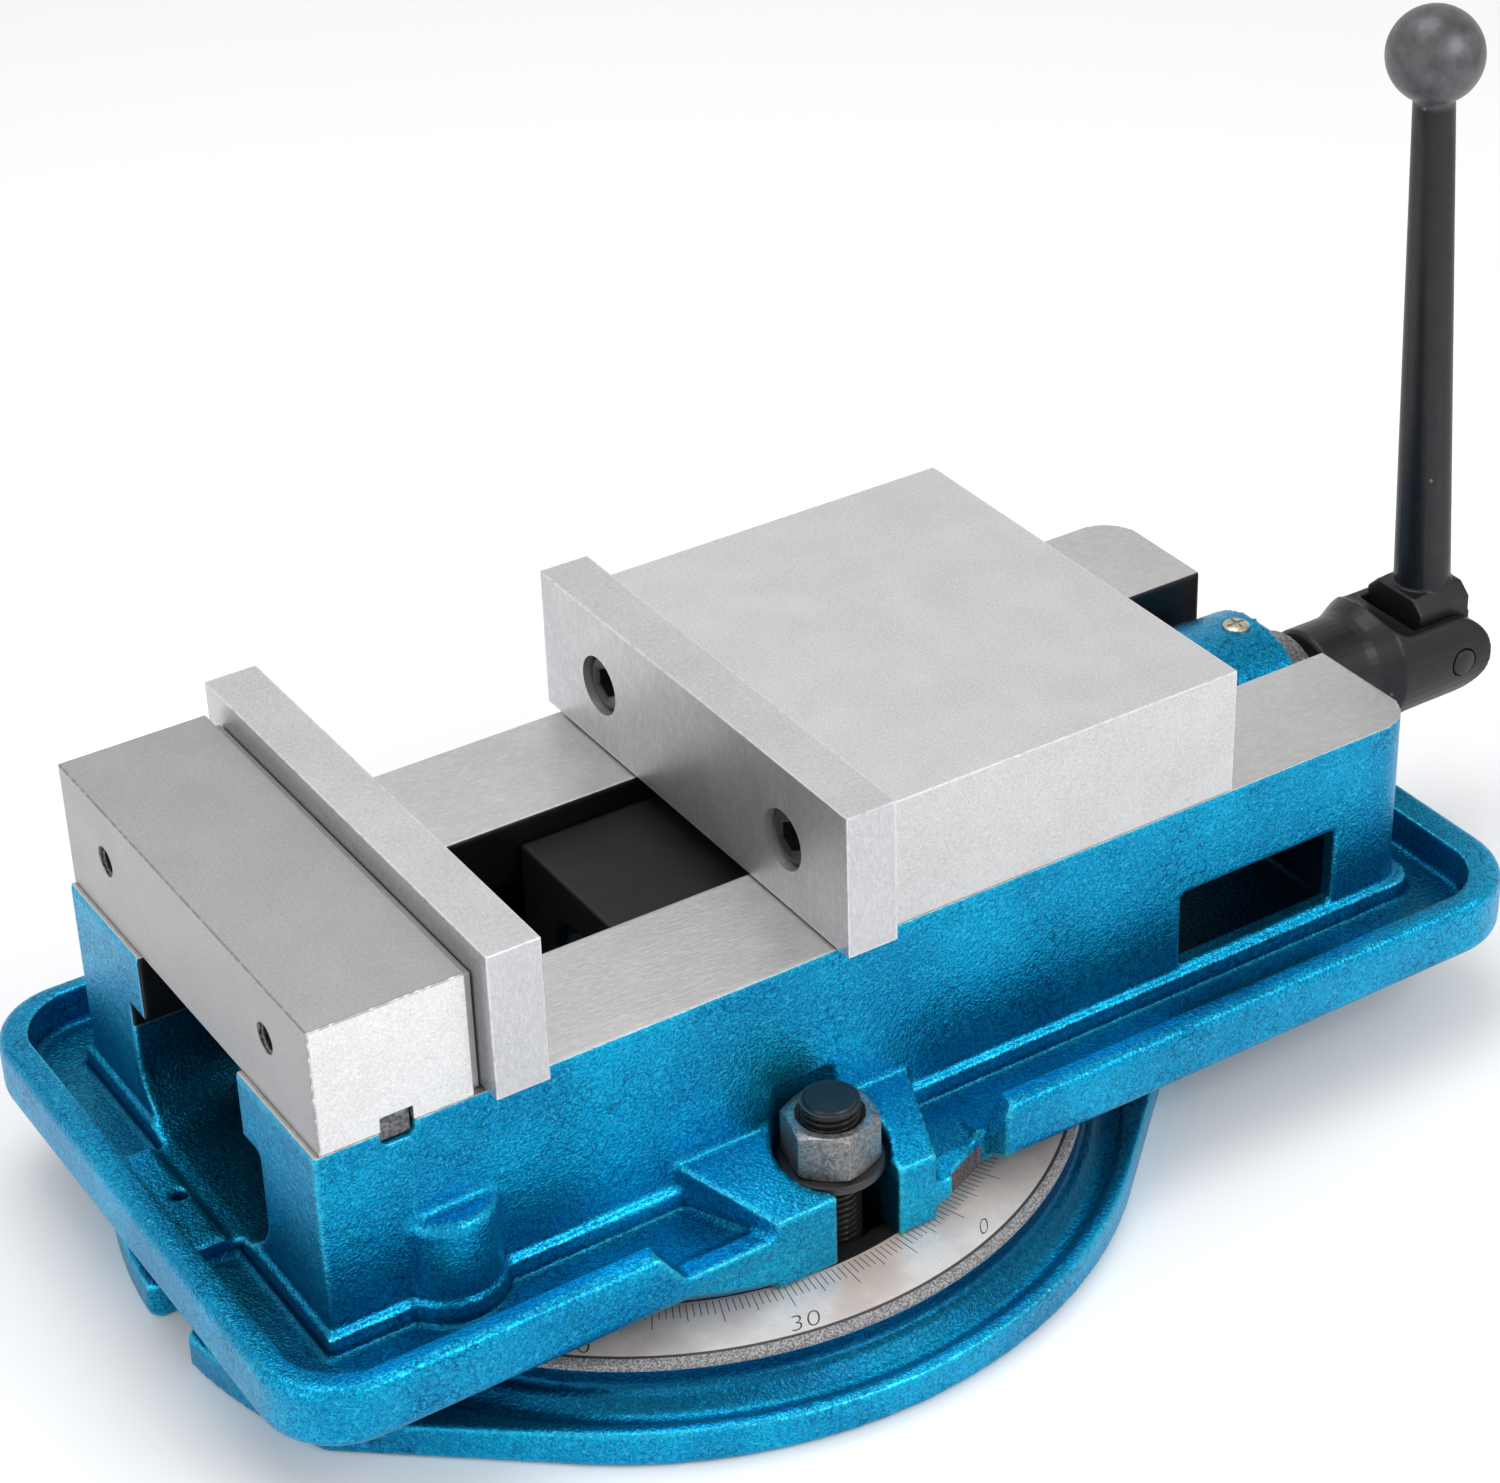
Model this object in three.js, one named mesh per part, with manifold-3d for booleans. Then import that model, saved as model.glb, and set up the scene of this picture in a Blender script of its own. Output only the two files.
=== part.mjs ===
// Machine vise: a milling vise with a pull-down moving jaw, bolted to a graduated swivel base.
// Millimetres, +Z up, +X towards the handle. The side at -Y carries the scale's zero pad.
// The origin is the swivel axis at the underside of the base.
import * as THREE from 'three';
import { mergeVertices } from 'three/addons/utils/BufferGeometryUtils.js';
import Module from 'manifold-3d';

const wasm = await Module();
wasm.setup();

// ---------------------------------------------------------------- driving dimensions
const FIT = 0.3;                 // gap left between pieces that touch or run on each other

const BED_Z = 95.5;              // ground top of the two rails
const BODY = { x0: -132, x1: 213, half: 70.5, cornerRight: 13 };
const RAIL_INNER = 28.3;         // half the slot between the rails
const RAIL_UNDERSIDE = 76;       // the casting is wider inside below this height
const CAVITY_HALF = 37.5;
const CAVITY_FLOOR = 40;
const CAVITY_END = 190;
const FOOT_Z = 20.2;             // underside of the vise body, on the base ring
const FOOT_R = 97.5;

const PAN = { x0: -155, x1: 237.5, half: 98, z0: 29, z1: 47, cornerLeft: 22, cornerRight: 25 };
const TROUGH = { x0: -147.5, x1: 226.5, half: 91.5, z: 36, cornerLeft: 18, cornerRight: 18 };
const CORNER_STEPS = 10;         // straight steps in each rounded corner of the pan
const LEDGE = { x0: -134, x1: 214.8, half: 72.6, z: 42 };
const BRIDGE_HALF = 22.5;        // raised middle of the trough at the open end

const BOLT = { x: 5.6, y: 82.6, r: 7.9, top: 61 };
const SLOT = { x0: -2.5, x1: 16.7 };
const NOTCH = { x0: -47.5, x1: 46, ramp: 8, floor: 37 };
const RIM_SLOPE = { x0: 20, y: 80, z: 36.2, outerZ: 31 };
const LUG = {
  inner: 66, wallZ: 49, rimZ: 41.8, wallX0: -34, rimX0: -20, rimX1: 28, wallX1: 37.5,
};
const ABOVE_PAN = 60;            // clear of everything that is cut or trimmed at the pan
const SEAT_Z = 39.3;             // spot face under the clamp washer
const SEAT_R = 15.5;
const CLAMP = { washerR: 14.1, washerTop: 42.3, nutTop: 56.2, acrossFlats: 23, spin: -11.75 };
const WINDOW = { x0: 129.3, x1: 184, z0: 43.7, z1: 67.7 };
const DRAIN = { x: -139.5, r: 2.2 };
const ZERO_PAD = { angle: 23.5, half: 8, out: 101.6 };
const KEYWAY = { half: 7, baseX0: 96, baseX1: 126, baseTop: 5, bodyX0: 45, bodyX1: 92, bodyTop: 25 };
const WALL_PAD = { x: -97, y: 64.8, r: 14.2, top: 66, ledgeR: 15.4 };

const JAW = { half: 76.2, thick: 15, z0: 96.2, z1: 138.4, screwY: 46.3, screwZ: 116.1 };
const BLOCK_HALF = 70.6;
const FIXED = { x0: -130.3, x1: -85.8, top: 132.1, plateX: -85.5 };
const MOVING = { plateX: 16.4, x1: 145.4, top: 133.6 };
const REBATE = { width: 2.8, depth: 2.6 };
const KEY = { x0: -113.6, x1: -105.3, z0: 91.8, z1: 99.6 };
const JAW_BOLT = { x: -98, y: 46, r: 5.9, z1: 108, headR: 8.9, head0: 60, head1: 71.7, socket: 10 };
const END_HOLE = { r: 4.2, depth: 18, y: 45.7, z: 115.5 };
const PLATE_SCREW = { headR: 8, headLength: 10, shankR: 4.9, recess: 2, depth: 18, socket: 8 };

const AXIS_Z = 65;               // lead screw height
const SCREW_R = 11;
const SCREW_START = -19;
const HOUSING = { x0: 185.4, x1: 211.5, r: 28.6 };
const COLLAR = { x0: 211.8, x1: 225, r: 18.2, screwX: 218 };
const JOURNAL_R = 10;
const SHAFT = { r: 9, x0: 227, x1: 259 };
const THRUST = { x0: 172, x1: 177.4, r: 15 };
const OILER = { x: 204, shankR: 2.5, z0: 85, headR: 4, headZ: 92.7, rimZ: 93.9, top: 94.7 };
const NUT = { x0: -21, x1: 110, half: 27.9, z0: 45, z1: 88.5 };
const WEDGE = { x: 70, z: 104, ballR: 12, towerHalf: 20, towerX: 109, towerTop: 119 };
const POCKET = { x1: 119, half: 24, z0: 85, z1: 124 };
const REAR_SCREW = { r: 5, z: 106 };

const SWIVEL = 1.5;              // how far the base is turned under the vise, in degrees
const BASE = { r: 135.2, steps: 20, wall: 10.5, rimR: 131.3, shoulderR: 122, shoulderZ: 12.6 };
const DITCH = { r0: 126.5, r1: 128.8, z: 8.3 };
const SCALE_RING = { r: 117.3, z: 19.9, bandR: 119.9, bandZ: 18.8 };
const EAR = { r: 149.5, halfAngle: 24, tangentAngle: 49, slotHalf: 9.5, slotX: 133 };
const T_SLOT = { r0: 74, r1: 91.6, wide0: 69, wide1: 96.6, z0: 5, z1: 12 };
const BOLT_HEAD = { half: 11, z0: 5.4, z1: 11.6, pocketR: 14.2 };
const PIVOT_R = 25;

const HUB = { x0: 230.3, neckR: 16.2, flare: 245, shoulder: 255, headR: 20, flatX: 261.5, slotX: 263 };
const FORK = { slotHalf: 12.3, flatHalf: 12.8, x1: 288.6, cornerR: 11 };
const PIN = { x: 277.8, r: 4.2 };
const ARM = { tilt: -3.3, footLeft: -11, footRight: 8.4, footHalf: 12, footTop: 21 };
const ROD = { baseR: 8.7, topR: 6.1 };
const HANDLE_BALL = { r: 14.1, z: 191.9 };

// ---------------------------------------------------------------- materials
function finish(color, roughness, metalness) {
  return new THREE.MeshStandardMaterial({ color, roughness, metalness });
}
const bluePaint = finish(0x0f6ea8, 0.4, 0.3);
const groundSteel = finish(0xb9b5b0, 0.35, 0.9);
const jawSteel = finish(0xb4b5ba, 0.3, 0.9);
const blackOxide = finish(0x1c1c1e, 0.5, 0.5);
const darkSteel = finish(0x4a4744, 0.45, 0.8);
const blackIron = finish(0x232324, 0.7, 0.3);
const plainSteel = finish(0x9a9a9c, 0.35, 0.9);
const yellowZinc = finish(0xc9b98a, 0.35, 0.8);

// ---------------------------------------------------------------- solids
const turn = THREE.MathUtils.degToRad;

/** Joins the shared corners of a three.js geometry and makes it a solid with its faces out. */
function solid(geometry) {
  const bare = geometry.clone();
  bare.deleteAttribute('normal');
  bare.deleteAttribute('uv');
  const merged = mergeVertices(bare, 1e-4);
  const p = merged.attributes.position;
  const kept = [];
  let volume = 0;
  const a = new THREE.Vector3();
  const b = new THREE.Vector3();
  const c = new THREE.Vector3();
  for (let i = 0; i < merged.index.count; i += 3) {
    const [u, v, w] = [0, 1, 2].map((k) => merged.index.getX(i + k));
    if (u === v || v === w || w === u) continue;
    volume += a.fromBufferAttribute(p, u).dot(
      b.fromBufferAttribute(p, v).cross(c.fromBufferAttribute(p, w)));
    kept.push([u, v, w]);
  }
  const faces = volume < 0 ? kept.map(([u, v, w]) => [u, w, v]) : kept;
  return new wasm.Manifold(new wasm.Mesh({
    numProp: 3,
    vertProperties: new Float32Array(p.array),
    triVerts: new Uint32Array(faces.flat()),
  }));
}

/** An axis-aligned block between two corners. */
function box(x0, x1, y0, y1, z0, z1) {
  const geometry = new THREE.BoxGeometry(x1 - x0, y1 - y0, z1 - z0);
  geometry.translate((x0 + x1) / 2, (y0 + y1) / 2, (z0 + z1) / 2);
  return solid(geometry);
}

/** A round bar from one point to another along X, Y or Z, with an optional second radius. */
function bar(axis, r, from, to, [u, v], segments = 32, r2 = r, spin = 0) {
  const geometry = new THREE.CylinderGeometry(r2, r, to - from, segments);
  geometry.rotateY(turn(spin));
  const middle = (from + to) / 2;
  if (axis === 'x') {
    geometry.rotateZ(-Math.PI / 2);
    geometry.translate(middle, u, v);
  } else if (axis === 'y') {
    geometry.translate(u, middle, v);
  } else {
    geometry.rotateX(Math.PI / 2);
    geometry.translate(u, v, middle);
  }
  return solid(geometry);
}

/** A prism with a hexagon section, measured across its flats. */
function hexBar(axis, acrossFlats, from, to, centre, spin = 0) {
  const r = acrossFlats / Math.sqrt(3);
  return bar(axis, r, from, to, centre, 6, r, spin);
}

/** Turns a profile of [radius, height] points round the Z axis at (x, y). */
function lathe(profile, segments, x = 0, y = 0) {
  const points = profile.map(([r, z]) => new THREE.Vector2(r, z));
  const geometry = new THREE.LatheGeometry(points, segments);
  geometry.rotateX(Math.PI / 2);
  geometry.translate(x, y, 0);
  return solid(geometry);
}

/** Raises an XY outline from z0 to z1, with its edges rounded over by `edge`. */
function plate(shape, z0, z1, edge = 0, curveSegments = 6) {
  const geometry = new THREE.ExtrudeGeometry(shape, {
    depth: z1 - z0 - 2 * edge,
    curveSegments,
    bevelEnabled: edge > 0,
    bevelSize: edge,
    bevelOffset: -edge,
    bevelThickness: edge,
    bevelSegments: 3,
  });
  geometry.translate(0, 0, z0 + edge);
  return solid(geometry);
}

/** Extrudes an outline drawn in X and Z across Y. */
function slab(points, y0, y1) {
  const shape = new THREE.Shape(points.map(([x, z]) => new THREE.Vector2(x, z)));
  const geometry = new THREE.ExtrudeGeometry(shape, { depth: y1 - y0, bevelEnabled: false });
  geometry.rotateX(Math.PI / 2);
  geometry.translate(0, y1, 0);
  return solid(geometry);
}

/** Extrudes an outline drawn in Y and Z along X. */
function rail(shape, x0, x1, curveSegments = 5) {
  const geometry = new THREE.ExtrudeGeometry(shape, { depth: x1 - x0, bevelEnabled: false, curveSegments });
  geometry.rotateX(Math.PI / 2);
  geometry.rotateZ(Math.PI / 2);
  geometry.translate(x0, 0, 0);
  return solid(geometry);
}

function ball(r, x, y, z, widthSegments = 24, heightSegments = 16) {
  const geometry = new THREE.SphereGeometry(r, widthSegments, heightSegments);
  geometry.rotateX(Math.PI / 2);
  geometry.translate(x, y, z);
  return solid(geometry);
}

function polygon(points) {
  return new THREE.Shape(points.map(([u, v]) => new THREE.Vector2(u, v)));
}

/** A rectangle in XY with one corner radius at its -X end and one at its +X end. */
function roundedOutline(x0, x1, half, leftR, rightR) {
  const shape = new THREE.Shape();
  shape.moveTo(x0 + leftR, -half);
  shape.lineTo(x1 - rightR, -half);
  shape.absarc(x1 - rightR, -half + rightR, rightR, -Math.PI / 2, 0, false);
  shape.lineTo(x1, half - rightR);
  shape.absarc(x1 - rightR, half - rightR, rightR, 0, Math.PI / 2, false);
  shape.lineTo(x0 + leftR, half);
  shape.absarc(x0 + leftR, half - leftR, leftR, Math.PI / 2, Math.PI, false);
  shape.lineTo(x0, -half + leftR);
  shape.absarc(x0 + leftR, -half + leftR, leftR, Math.PI, 1.5 * Math.PI, false);
  return shape;
}

function join(first, ...rest) {
  return rest.reduce((sum, next) => sum.add(next), first);
}

function cut(stock, ...tools) {
  return tools.reduce((left, tool) => left.subtract(tool), stock);
}

const vise = new THREE.Group();

/** Adds a finished solid to the vise as a named mesh. */
function part(name, body, material, parent = vise) {
  const { vertProperties, triVerts } = body.getMesh();
  const geometry = new THREE.BufferGeometry();
  geometry.setAttribute('position', new THREE.BufferAttribute(vertProperties, 3));
  geometry.setIndex(new THREE.BufferAttribute(triVerts, 1));
  geometry.computeVertexNormals();
  const mesh = new THREE.Mesh(geometry, material);
  mesh.name = name;
  parent.add(mesh);
}

const sides = [['near', -1], ['far', 1]];

// ---------------------------------------------------------------- swivel base
/** The disc and its two ears as one outline: two pairs of arcs, joined by tangent lines. */
function baseOutline() {
  const shape = new THREE.Shape();
  const open = turn(EAR.halfAngle);
  const tangent = turn(EAR.tangentAngle);
  shape.absarc(0, 0, EAR.r, -open, open, false);
  shape.absarc(0, 0, BASE.r, tangent, Math.PI - tangent, false);
  shape.absarc(0, 0, EAR.r, Math.PI - open, Math.PI + open, false);
  shape.absarc(0, 0, BASE.r, Math.PI + tangent, 2 * Math.PI - tangent, false);
  return shape;
}

/** Cuts for a table key at each end, between two distances from the swivel axis. */
function tableKeyways(from, to, z0, z1) {
  return [
    box(from, to, -KEYWAY.half, KEYWAY.half, z0, z1),
    box(-to, -from, -KEYWAY.half, KEYWAY.half, z0, z1),
  ];
}

/** An ear's bolt slot, open outwards, with rounded corners at its mouth. */
function earSlot() {
  const mouth = new THREE.Shape();
  const half = EAR.slotHalf;
  const flare = half + 5;
  mouth.moveTo(EAR.slotX, -half);
  mouth.lineTo(EAR.r - 6, -half);
  mouth.quadraticCurveTo(EAR.r - 0.5, -half, EAR.r + 0.5, -flare);
  mouth.lineTo(EAR.r + 10, -flare);
  mouth.lineTo(EAR.r + 10, flare);
  mouth.lineTo(EAR.r + 0.5, flare);
  mouth.quadraticCurveTo(EAR.r - 0.5, half, EAR.r - 6, half);
  mouth.lineTo(EAR.slotX, half);
  return join(plate(mouth, -1, 20, 0, 5), bar('z', half, -1, 20, [EAR.slotX, 0], 28));
}

function swivelBase() {
  const rim = plate(baseOutline(), 0, BASE.wall, 1.2, BASE.steps);
  const { r1, r0, wide0, wide1, z0, z1 } = T_SLOT;
  // Everything inside the rim is taken away, then the disc is put back a little smaller.
  const inside = lathe([
    [0, 3], [BASE.shoulderR, 3], [DITCH.r0, DITCH.z], [DITCH.r1, DITCH.z],
    [BASE.rimR - 0.6, BASE.wall - 1], [BASE.rimR, BASE.wall + 3.5], [0, BASE.wall + 3.5],
  ], 72);
  const disc = lathe([
    [0, 0], [DITCH.r0, 0], [DITCH.r0, DITCH.z], [DITCH.r0 - 1.5, DITCH.z + 1.1], [BASE.shoulderR + 0.8, BASE.shoulderZ - 0.7],
    [BASE.shoulderR - 0.6, BASE.shoulderZ], [SCALE_RING.bandR, BASE.shoulderZ],
    [SCALE_RING.bandR, SCALE_RING.bandZ], [SCALE_RING.r, SCALE_RING.z],
    [r1, SCALE_RING.z], [r1, z1], [wide1, z1], [wide1, z0],
    [wide0, z0], [wide0, z1], [r0, z1], [r0, SCALE_RING.z],
    [PIVOT_R + FIT, SCALE_RING.z], [PIVOT_R + FIT, 6], [0, 6],
  ], 72);
  const slot = earSlot();
  // The pocket where the bolt heads drop into the round T-slot, under the body.
  const pocket = bar('z', BOLT_HEAD.pocketR, z0, 25, [(r0 + r1) / 2, 0], 24);
  // Keyways across the underside for the table keys.
  const keyways = tableKeyways(KEYWAY.baseX0, KEYWAY.baseX1, -1, KEYWAY.baseTop);
  return cut(join(cut(rim, inside), disc), slot, slot.mirror([1, 0, 0]), pocket, ...keyways);
}

const base = new THREE.Group();
base.rotation.z = turn(SWIVEL);
vise.add(base);
part('swivel_base', swivelBase(), bluePaint, base);
part('centre_pivot', cut(
  bar('z', PIVOT_R, 6 + FIT, 27.5, [0, 0], 40),
  bar('z', 6, 16, 30, [0, 0], 24),
), plainSteel);

// ---------------------------------------------------------------- vise body casting
/** The sloped lug round a clamp slot: wide at the wall, narrow at the pan's rim, open at its middle. */
function sideLug(mirror) {
  const { inner, wallZ, rimZ, wallX0, rimX0, rimX1, wallX1 } = LUG;
  const rim = -PAN.half - 1;
  const slope = polygon([
    [-inner, FOOT_Z], [-PAN.half, FOOT_Z], [-PAN.half, rimZ], [-BODY.half, wallZ], [-inner, wallZ],
  ]);
  const wedge = rail(slope, wallX0 - 2, wallX1 + 2);
  const left = plate(polygon([
    [wallX0, -inner], [wallX0, -BODY.half], [rimX0, rim], [SLOT.x0, rim], [SLOT.x0, -inner],
  ]), FOOT_Z, ABOVE_PAN);
  const right = plate(polygon([
    [SLOT.x1, -inner], [SLOT.x1, rim], [rimX1, rim], [wallX1, -BODY.half], [wallX1, -inner],
  ]), FOOT_Z, ABOVE_PAN);
  const middle = box(SLOT.x0 - 1, SLOT.x1 + 1, -inner - 10, -inner, FOOT_Z, ABOVE_PAN);
  const lug = wedge.intersect(join(left, right, middle));
  return mirror > 0 ? lug.mirror([0, 1, 0]) : lug;
}

/** The open slot for the clamp bolt, and its washer seat. */
function lugCuts(mirror) {
  const centre = (SLOT.x0 + SLOT.x1) / 2;
  const slotR = (SLOT.x1 - SLOT.x0) / 2;
  const slotEnd = -BOLT.y + 1.5;
  const tool = join(
    bar('z', slotR, 10, ABOVE_PAN, [centre, slotEnd], 24),
    box(SLOT.x0, SLOT.x1, -PAN.half - 10, slotEnd, 10, ABOVE_PAN),
    bar('z', SEAT_R, SEAT_Z, ABOVE_PAN, [BOLT.x, -BOLT.y], 32));
  return mirror > 0 ? tool.mirror([0, 1, 0]) : tool;
}

/** The break in the pan's rim at a lug; beside the lug the pan's floor also falls away outwards. */
function rimBreak(mirror) {
  const outline = [
    [NOTCH.x0, NOTCH.floor], [NOTCH.x1, NOTCH.floor],
    [NOTCH.x1 + NOTCH.ramp, PAN.z1 + 1], [NOTCH.x0 - NOTCH.ramp, PAN.z1 + 1],
  ];
  const outerY = -PAN.half - 2;
  const fall = polygon([
    [-RIM_SLOPE.y, RIM_SLOPE.z], [outerY, RIM_SLOPE.outerZ], [outerY, ABOVE_PAN], [-RIM_SLOPE.y, ABOVE_PAN],
  ]);
  const tool = join(slab(outline, outerY, -TROUGH.half + 2), rail(fall, RIM_SLOPE.x0, NOTCH.x1));
  return mirror > 0 ? tool.mirror([0, 1, 0]) : tool;
}

/** A half-round strengthening pad on the side wall, on a bulge of the ledge. */
function wallPad(mirror) {
  const { x, y, r, top, ledgeR } = WALL_PAD;
  const post = lathe([
    [0, LEDGE.z - 1], [r, LEDGE.z - 1], [r, top - 2.4], [r - 0.8, top - 0.7], [r - 2.6, top], [0, top],
  ], 28, x, -y);
  const pad = join(post, bar('z', ledgeR, PAN.z0 + 1, LEDGE.z, [x, -y], 28));
  return mirror > 0 ? pad.mirror([0, 1, 0]) : pad;
}

function cavity() {
  const shape = new THREE.Shape();
  const corner = 17;
  shape.moveTo(-CAVITY_HALF + corner, CAVITY_FLOOR);
  shape.lineTo(CAVITY_HALF - corner, CAVITY_FLOOR);
  shape.absarc(CAVITY_HALF - corner, CAVITY_FLOOR + corner, corner, -Math.PI / 2, 0, false);
  shape.lineTo(CAVITY_HALF, RAIL_UNDERSIDE);
  shape.lineTo(-CAVITY_HALF, RAIL_UNDERSIDE);
  shape.lineTo(-CAVITY_HALF, CAVITY_FLOOR + corner);
  shape.absarc(-CAVITY_HALF + corner, CAVITY_FLOOR + corner, corner, Math.PI, 1.5 * Math.PI, false);
  return rail(shape, BODY.x0 - 5, CAVITY_END);
}

function viseBody() {
  const foot = bar('z', FOOT_R, FOOT_Z, PAN.z0 + 1, [0, 0], 72, FOOT_R + PAN.z0 + 1 - FOOT_Z)
    .intersect(box(PAN.x0, PAN.x1, -PAN.half, PAN.half, 0, ABOVE_PAN));
  const pan = plate(roundedOutline(PAN.x0, PAN.x1, PAN.half, PAN.cornerLeft, PAN.cornerRight),
    PAN.z0, PAN.z1, 3, CORNER_STEPS);
  const trough = plate(roundedOutline(TROUGH.x0, TROUGH.x1, TROUGH.half, TROUGH.cornerLeft,
    TROUGH.cornerRight), TROUGH.z, PAN.z1 + 5, 0, CORNER_STEPS);
  const ledge = plate(roundedOutline(LEDGE.x0, LEDGE.x1, LEDGE.half, 1, 8), PAN.z0 + 1, LEDGE.z, 0, 2);
  const bridge = box(PAN.x0 + 8, LEDGE.x0 + 2, -BRIDGE_HALF, BRIDGE_HALF, PAN.z0 + 1, LEDGE.z);
  const wallOutline = roundedOutline(BODY.x0, BODY.x1, BODY.half, 0.5, BODY.cornerRight);
  const walls = plate(wallOutline, PAN.z0 + 1, BED_Z, 0, 5);
  const housing = join(
    bar('x', HOUSING.r, HOUSING.x0, HOUSING.x1, [0, AXIS_Z], 40),
    box(CAVITY_END, HOUSING.x1 - 3, -RAIL_INNER - 1, RAIL_INNER + 1, LEDGE.z - 2, AXIS_Z + 14));
  const [slotX0, slotX1, slotTop] = [BODY.x0 - 5, BODY.x1 + 5, BED_Z + 5];
  const slotBetweenRails = box(slotX0, slotX1, -RAIL_INNER, RAIL_INNER, RAIL_UNDERSIDE - 1, slotTop);
  const portBetweenRails = box(CAVITY_END - 1, slotX1, -RAIL_INNER, RAIL_INNER, LEDGE.z, slotTop);

  let body = join(cut(pan, trough, rimBreak(-1), rimBreak(1)), foot, ledge, bridge, walls);
  body = join(body, ...sides.map(([, s]) => sideLug(s)), ...sides.map(([, s]) => wallPad(s)));
  body = cut(body, slotBetweenRails, portBetweenRails, cavity());
  body = body.add(housing);

  const tools = [];
  // Screw journal bore through the housing.
  tools.push(bar('x', JOURNAL_R + FIT, HOUSING.x0 - 5, HOUSING.x1 + 5, [0, AXIS_Z], 32));
  // Windows through both side walls.
  tools.push(box(WINDOW.x0, WINDOW.x1, -80, 80, WINDOW.z0, WINDOW.z1));
  // Keyway under the fixed jaw.
  tools.push(box(KEY.x0 - FIT, KEY.x1 + FIT, -80, 80, KEY.z0 - FIT, BED_Z + 5));
  // Hole for the housing's lubrication screw.
  tools.push(bar('z', OILER.shankR + FIT, OILER.z0 - 1, 100, [OILER.x, 0], 16));
  tools.push(bar('z', OILER.headR + FIT, OILER.headZ - FIT, 100, [OILER.x, 0], 20));
  // Drain hole in the bridge and the round recess for the pivot.
  tools.push(bar('z', DRAIN.r, 20, 50, [DRAIN.x, 0], 16));
  tools.push(bar('z', PIVOT_R + FIT, 10, 28, [0, 0], 40));
  // Keyways for table keys, used when the vise is bolted down without its base.
  tools.push(...tableKeyways(KEYWAY.bodyX0, KEYWAY.bodyX1, 10, KEYWAY.bodyTop));
  for (const [, side] of sides) {
    // Counterbored holes for the fixed jaw's bolts, entered from below.
    tools.push(bar('z', JAW_BOLT.r + FIT, 20, 100, [JAW_BOLT.x, side * JAW_BOLT.y], 20));
    tools.push(bar('z', JAW_BOLT.headR + 0.6, 20, JAW_BOLT.head1 + FIT, [JAW_BOLT.x, side * JAW_BOLT.y], 24));
    tools.push(lugCuts(side));
  }
  // Flat pad beside the lug, square to the scale, for the zero line.
  const padDepth = 40;
  const padCut = new THREE.BoxGeometry(2 * ZERO_PAD.half, padDepth, ABOVE_PAN);
  padCut.translate(0, -ZERO_PAD.out - padDepth / 2, 45);
  padCut.rotateZ(turn(ZERO_PAD.angle));
  tools.push(solid(padCut));
  return cut(body, ...tools);
}

part('vise_body', viseBody(), bluePaint);

// ---------------------------------------------------------------- bearing and its screw
const thrustRings = [
  ['thrust_washer_front', 177.7, 179.7, 15.5, plainSteel],
  ['thrust_needle_cage', 179.9, 182.9, 15, yellowZinc],
  ['thrust_washer_rear', 183.1, 185.1, 15.5, plainSteel],
];
for (const [name, from, to, r, material] of thrustRings) {
  part(name, cut(
    bar('x', r, from, to, [0, AXIS_Z], 32),
    bar('x', JOURNAL_R + FIT, from - 1, to + 1, [0, AXIS_Z], 32),
  ), material);
}
part('lubrication_screw', cut(
  join(
    bar('z', OILER.shankR, OILER.z0, OILER.headZ + 0.3, [OILER.x, 0], 16),
    bar('z', OILER.headR, OILER.headZ, OILER.rimZ, [OILER.x, 0], 24),
    bar('z', OILER.headR, OILER.rimZ, OILER.top, [OILER.x, 0], 24, OILER.headR - 1.4)),
  // The cross recess for a screwdriver.
  box(OILER.x - 3.1, OILER.x + 3.1, -0.5, 0.5, OILER.rimZ, OILER.top + 1),
  box(OILER.x - 0.5, OILER.x + 0.5, -3.1, 3.1, OILER.rimZ, OILER.top + 1),
), yellowZinc);

// ---------------------------------------------------------------- jaws
/** A socket head screw along X with its head at the -X or +X end. */
function socketScrew(headX, tipX, y, z, headR, shankR, headLength, socket) {
  const out = Math.sign(headX - tipX);
  const under = headX - out * headLength;
  const span = (a, b) => [Math.min(a, b), Math.max(a, b)];
  return cut(
    join(
      bar('x', headR, ...span(headX, under), [y, z], 28),
      bar('x', shankR, ...span(under + out, tipX), [y, z], 20)),
    hexBar('x', socket, ...span(headX + out, headX - out * headLength * 0.5), [y, z]));
}

/** A jaw plate with two counterbored screw holes; `front` is the face that grips the work. */
function jawPlate(front, back) {
  const [x0, x1] = [Math.min(front, back), Math.max(front, back)];
  const inward = Math.sign(back - front);
  const floor = front + inward * (PLATE_SCREW.recess + PLATE_SCREW.headLength + FIT);
  const stock = box(x0, x1, -JAW.half, JAW.half, JAW.z0, JAW.z1);
  const tools = sides.flatMap(([, side]) => [
    bar('x', PLATE_SCREW.shankR + FIT, x0 - 1, x1 + 1, [side * JAW.screwY, JAW.screwZ], 20),
    bar('x', PLATE_SCREW.headR + 0.7, Math.min(front - inward, floor), Math.max(front - inward, floor),
      [side * JAW.screwY, JAW.screwZ], 40),
  ]);
  return cut(stock, ...tools);
}

function plateScrew(front, inward, side) {
  const { headR, headLength, shankR, recess, depth, socket } = PLATE_SCREW;
  const headX = front + inward * recess;
  const tipX = front + inward * (JAW.thick + depth);
  return socketScrew(headX, tipX, side * JAW.screwY, JAW.screwZ, headR, shankR, headLength, socket);
}

/** Holes in a jaw block that take the plate screws from its face at `faceX`. */
function plateScrewHoles(faceX, inward) {
  const end = faceX + inward * (PLATE_SCREW.depth + 4);
  return sides.map(([, side]) => bar('x', PLATE_SCREW.shankR + FIT, Math.min(faceX - inward, end),
    Math.max(faceX - inward, end), [side * JAW.screwY, JAW.screwZ], 20));
}

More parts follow.
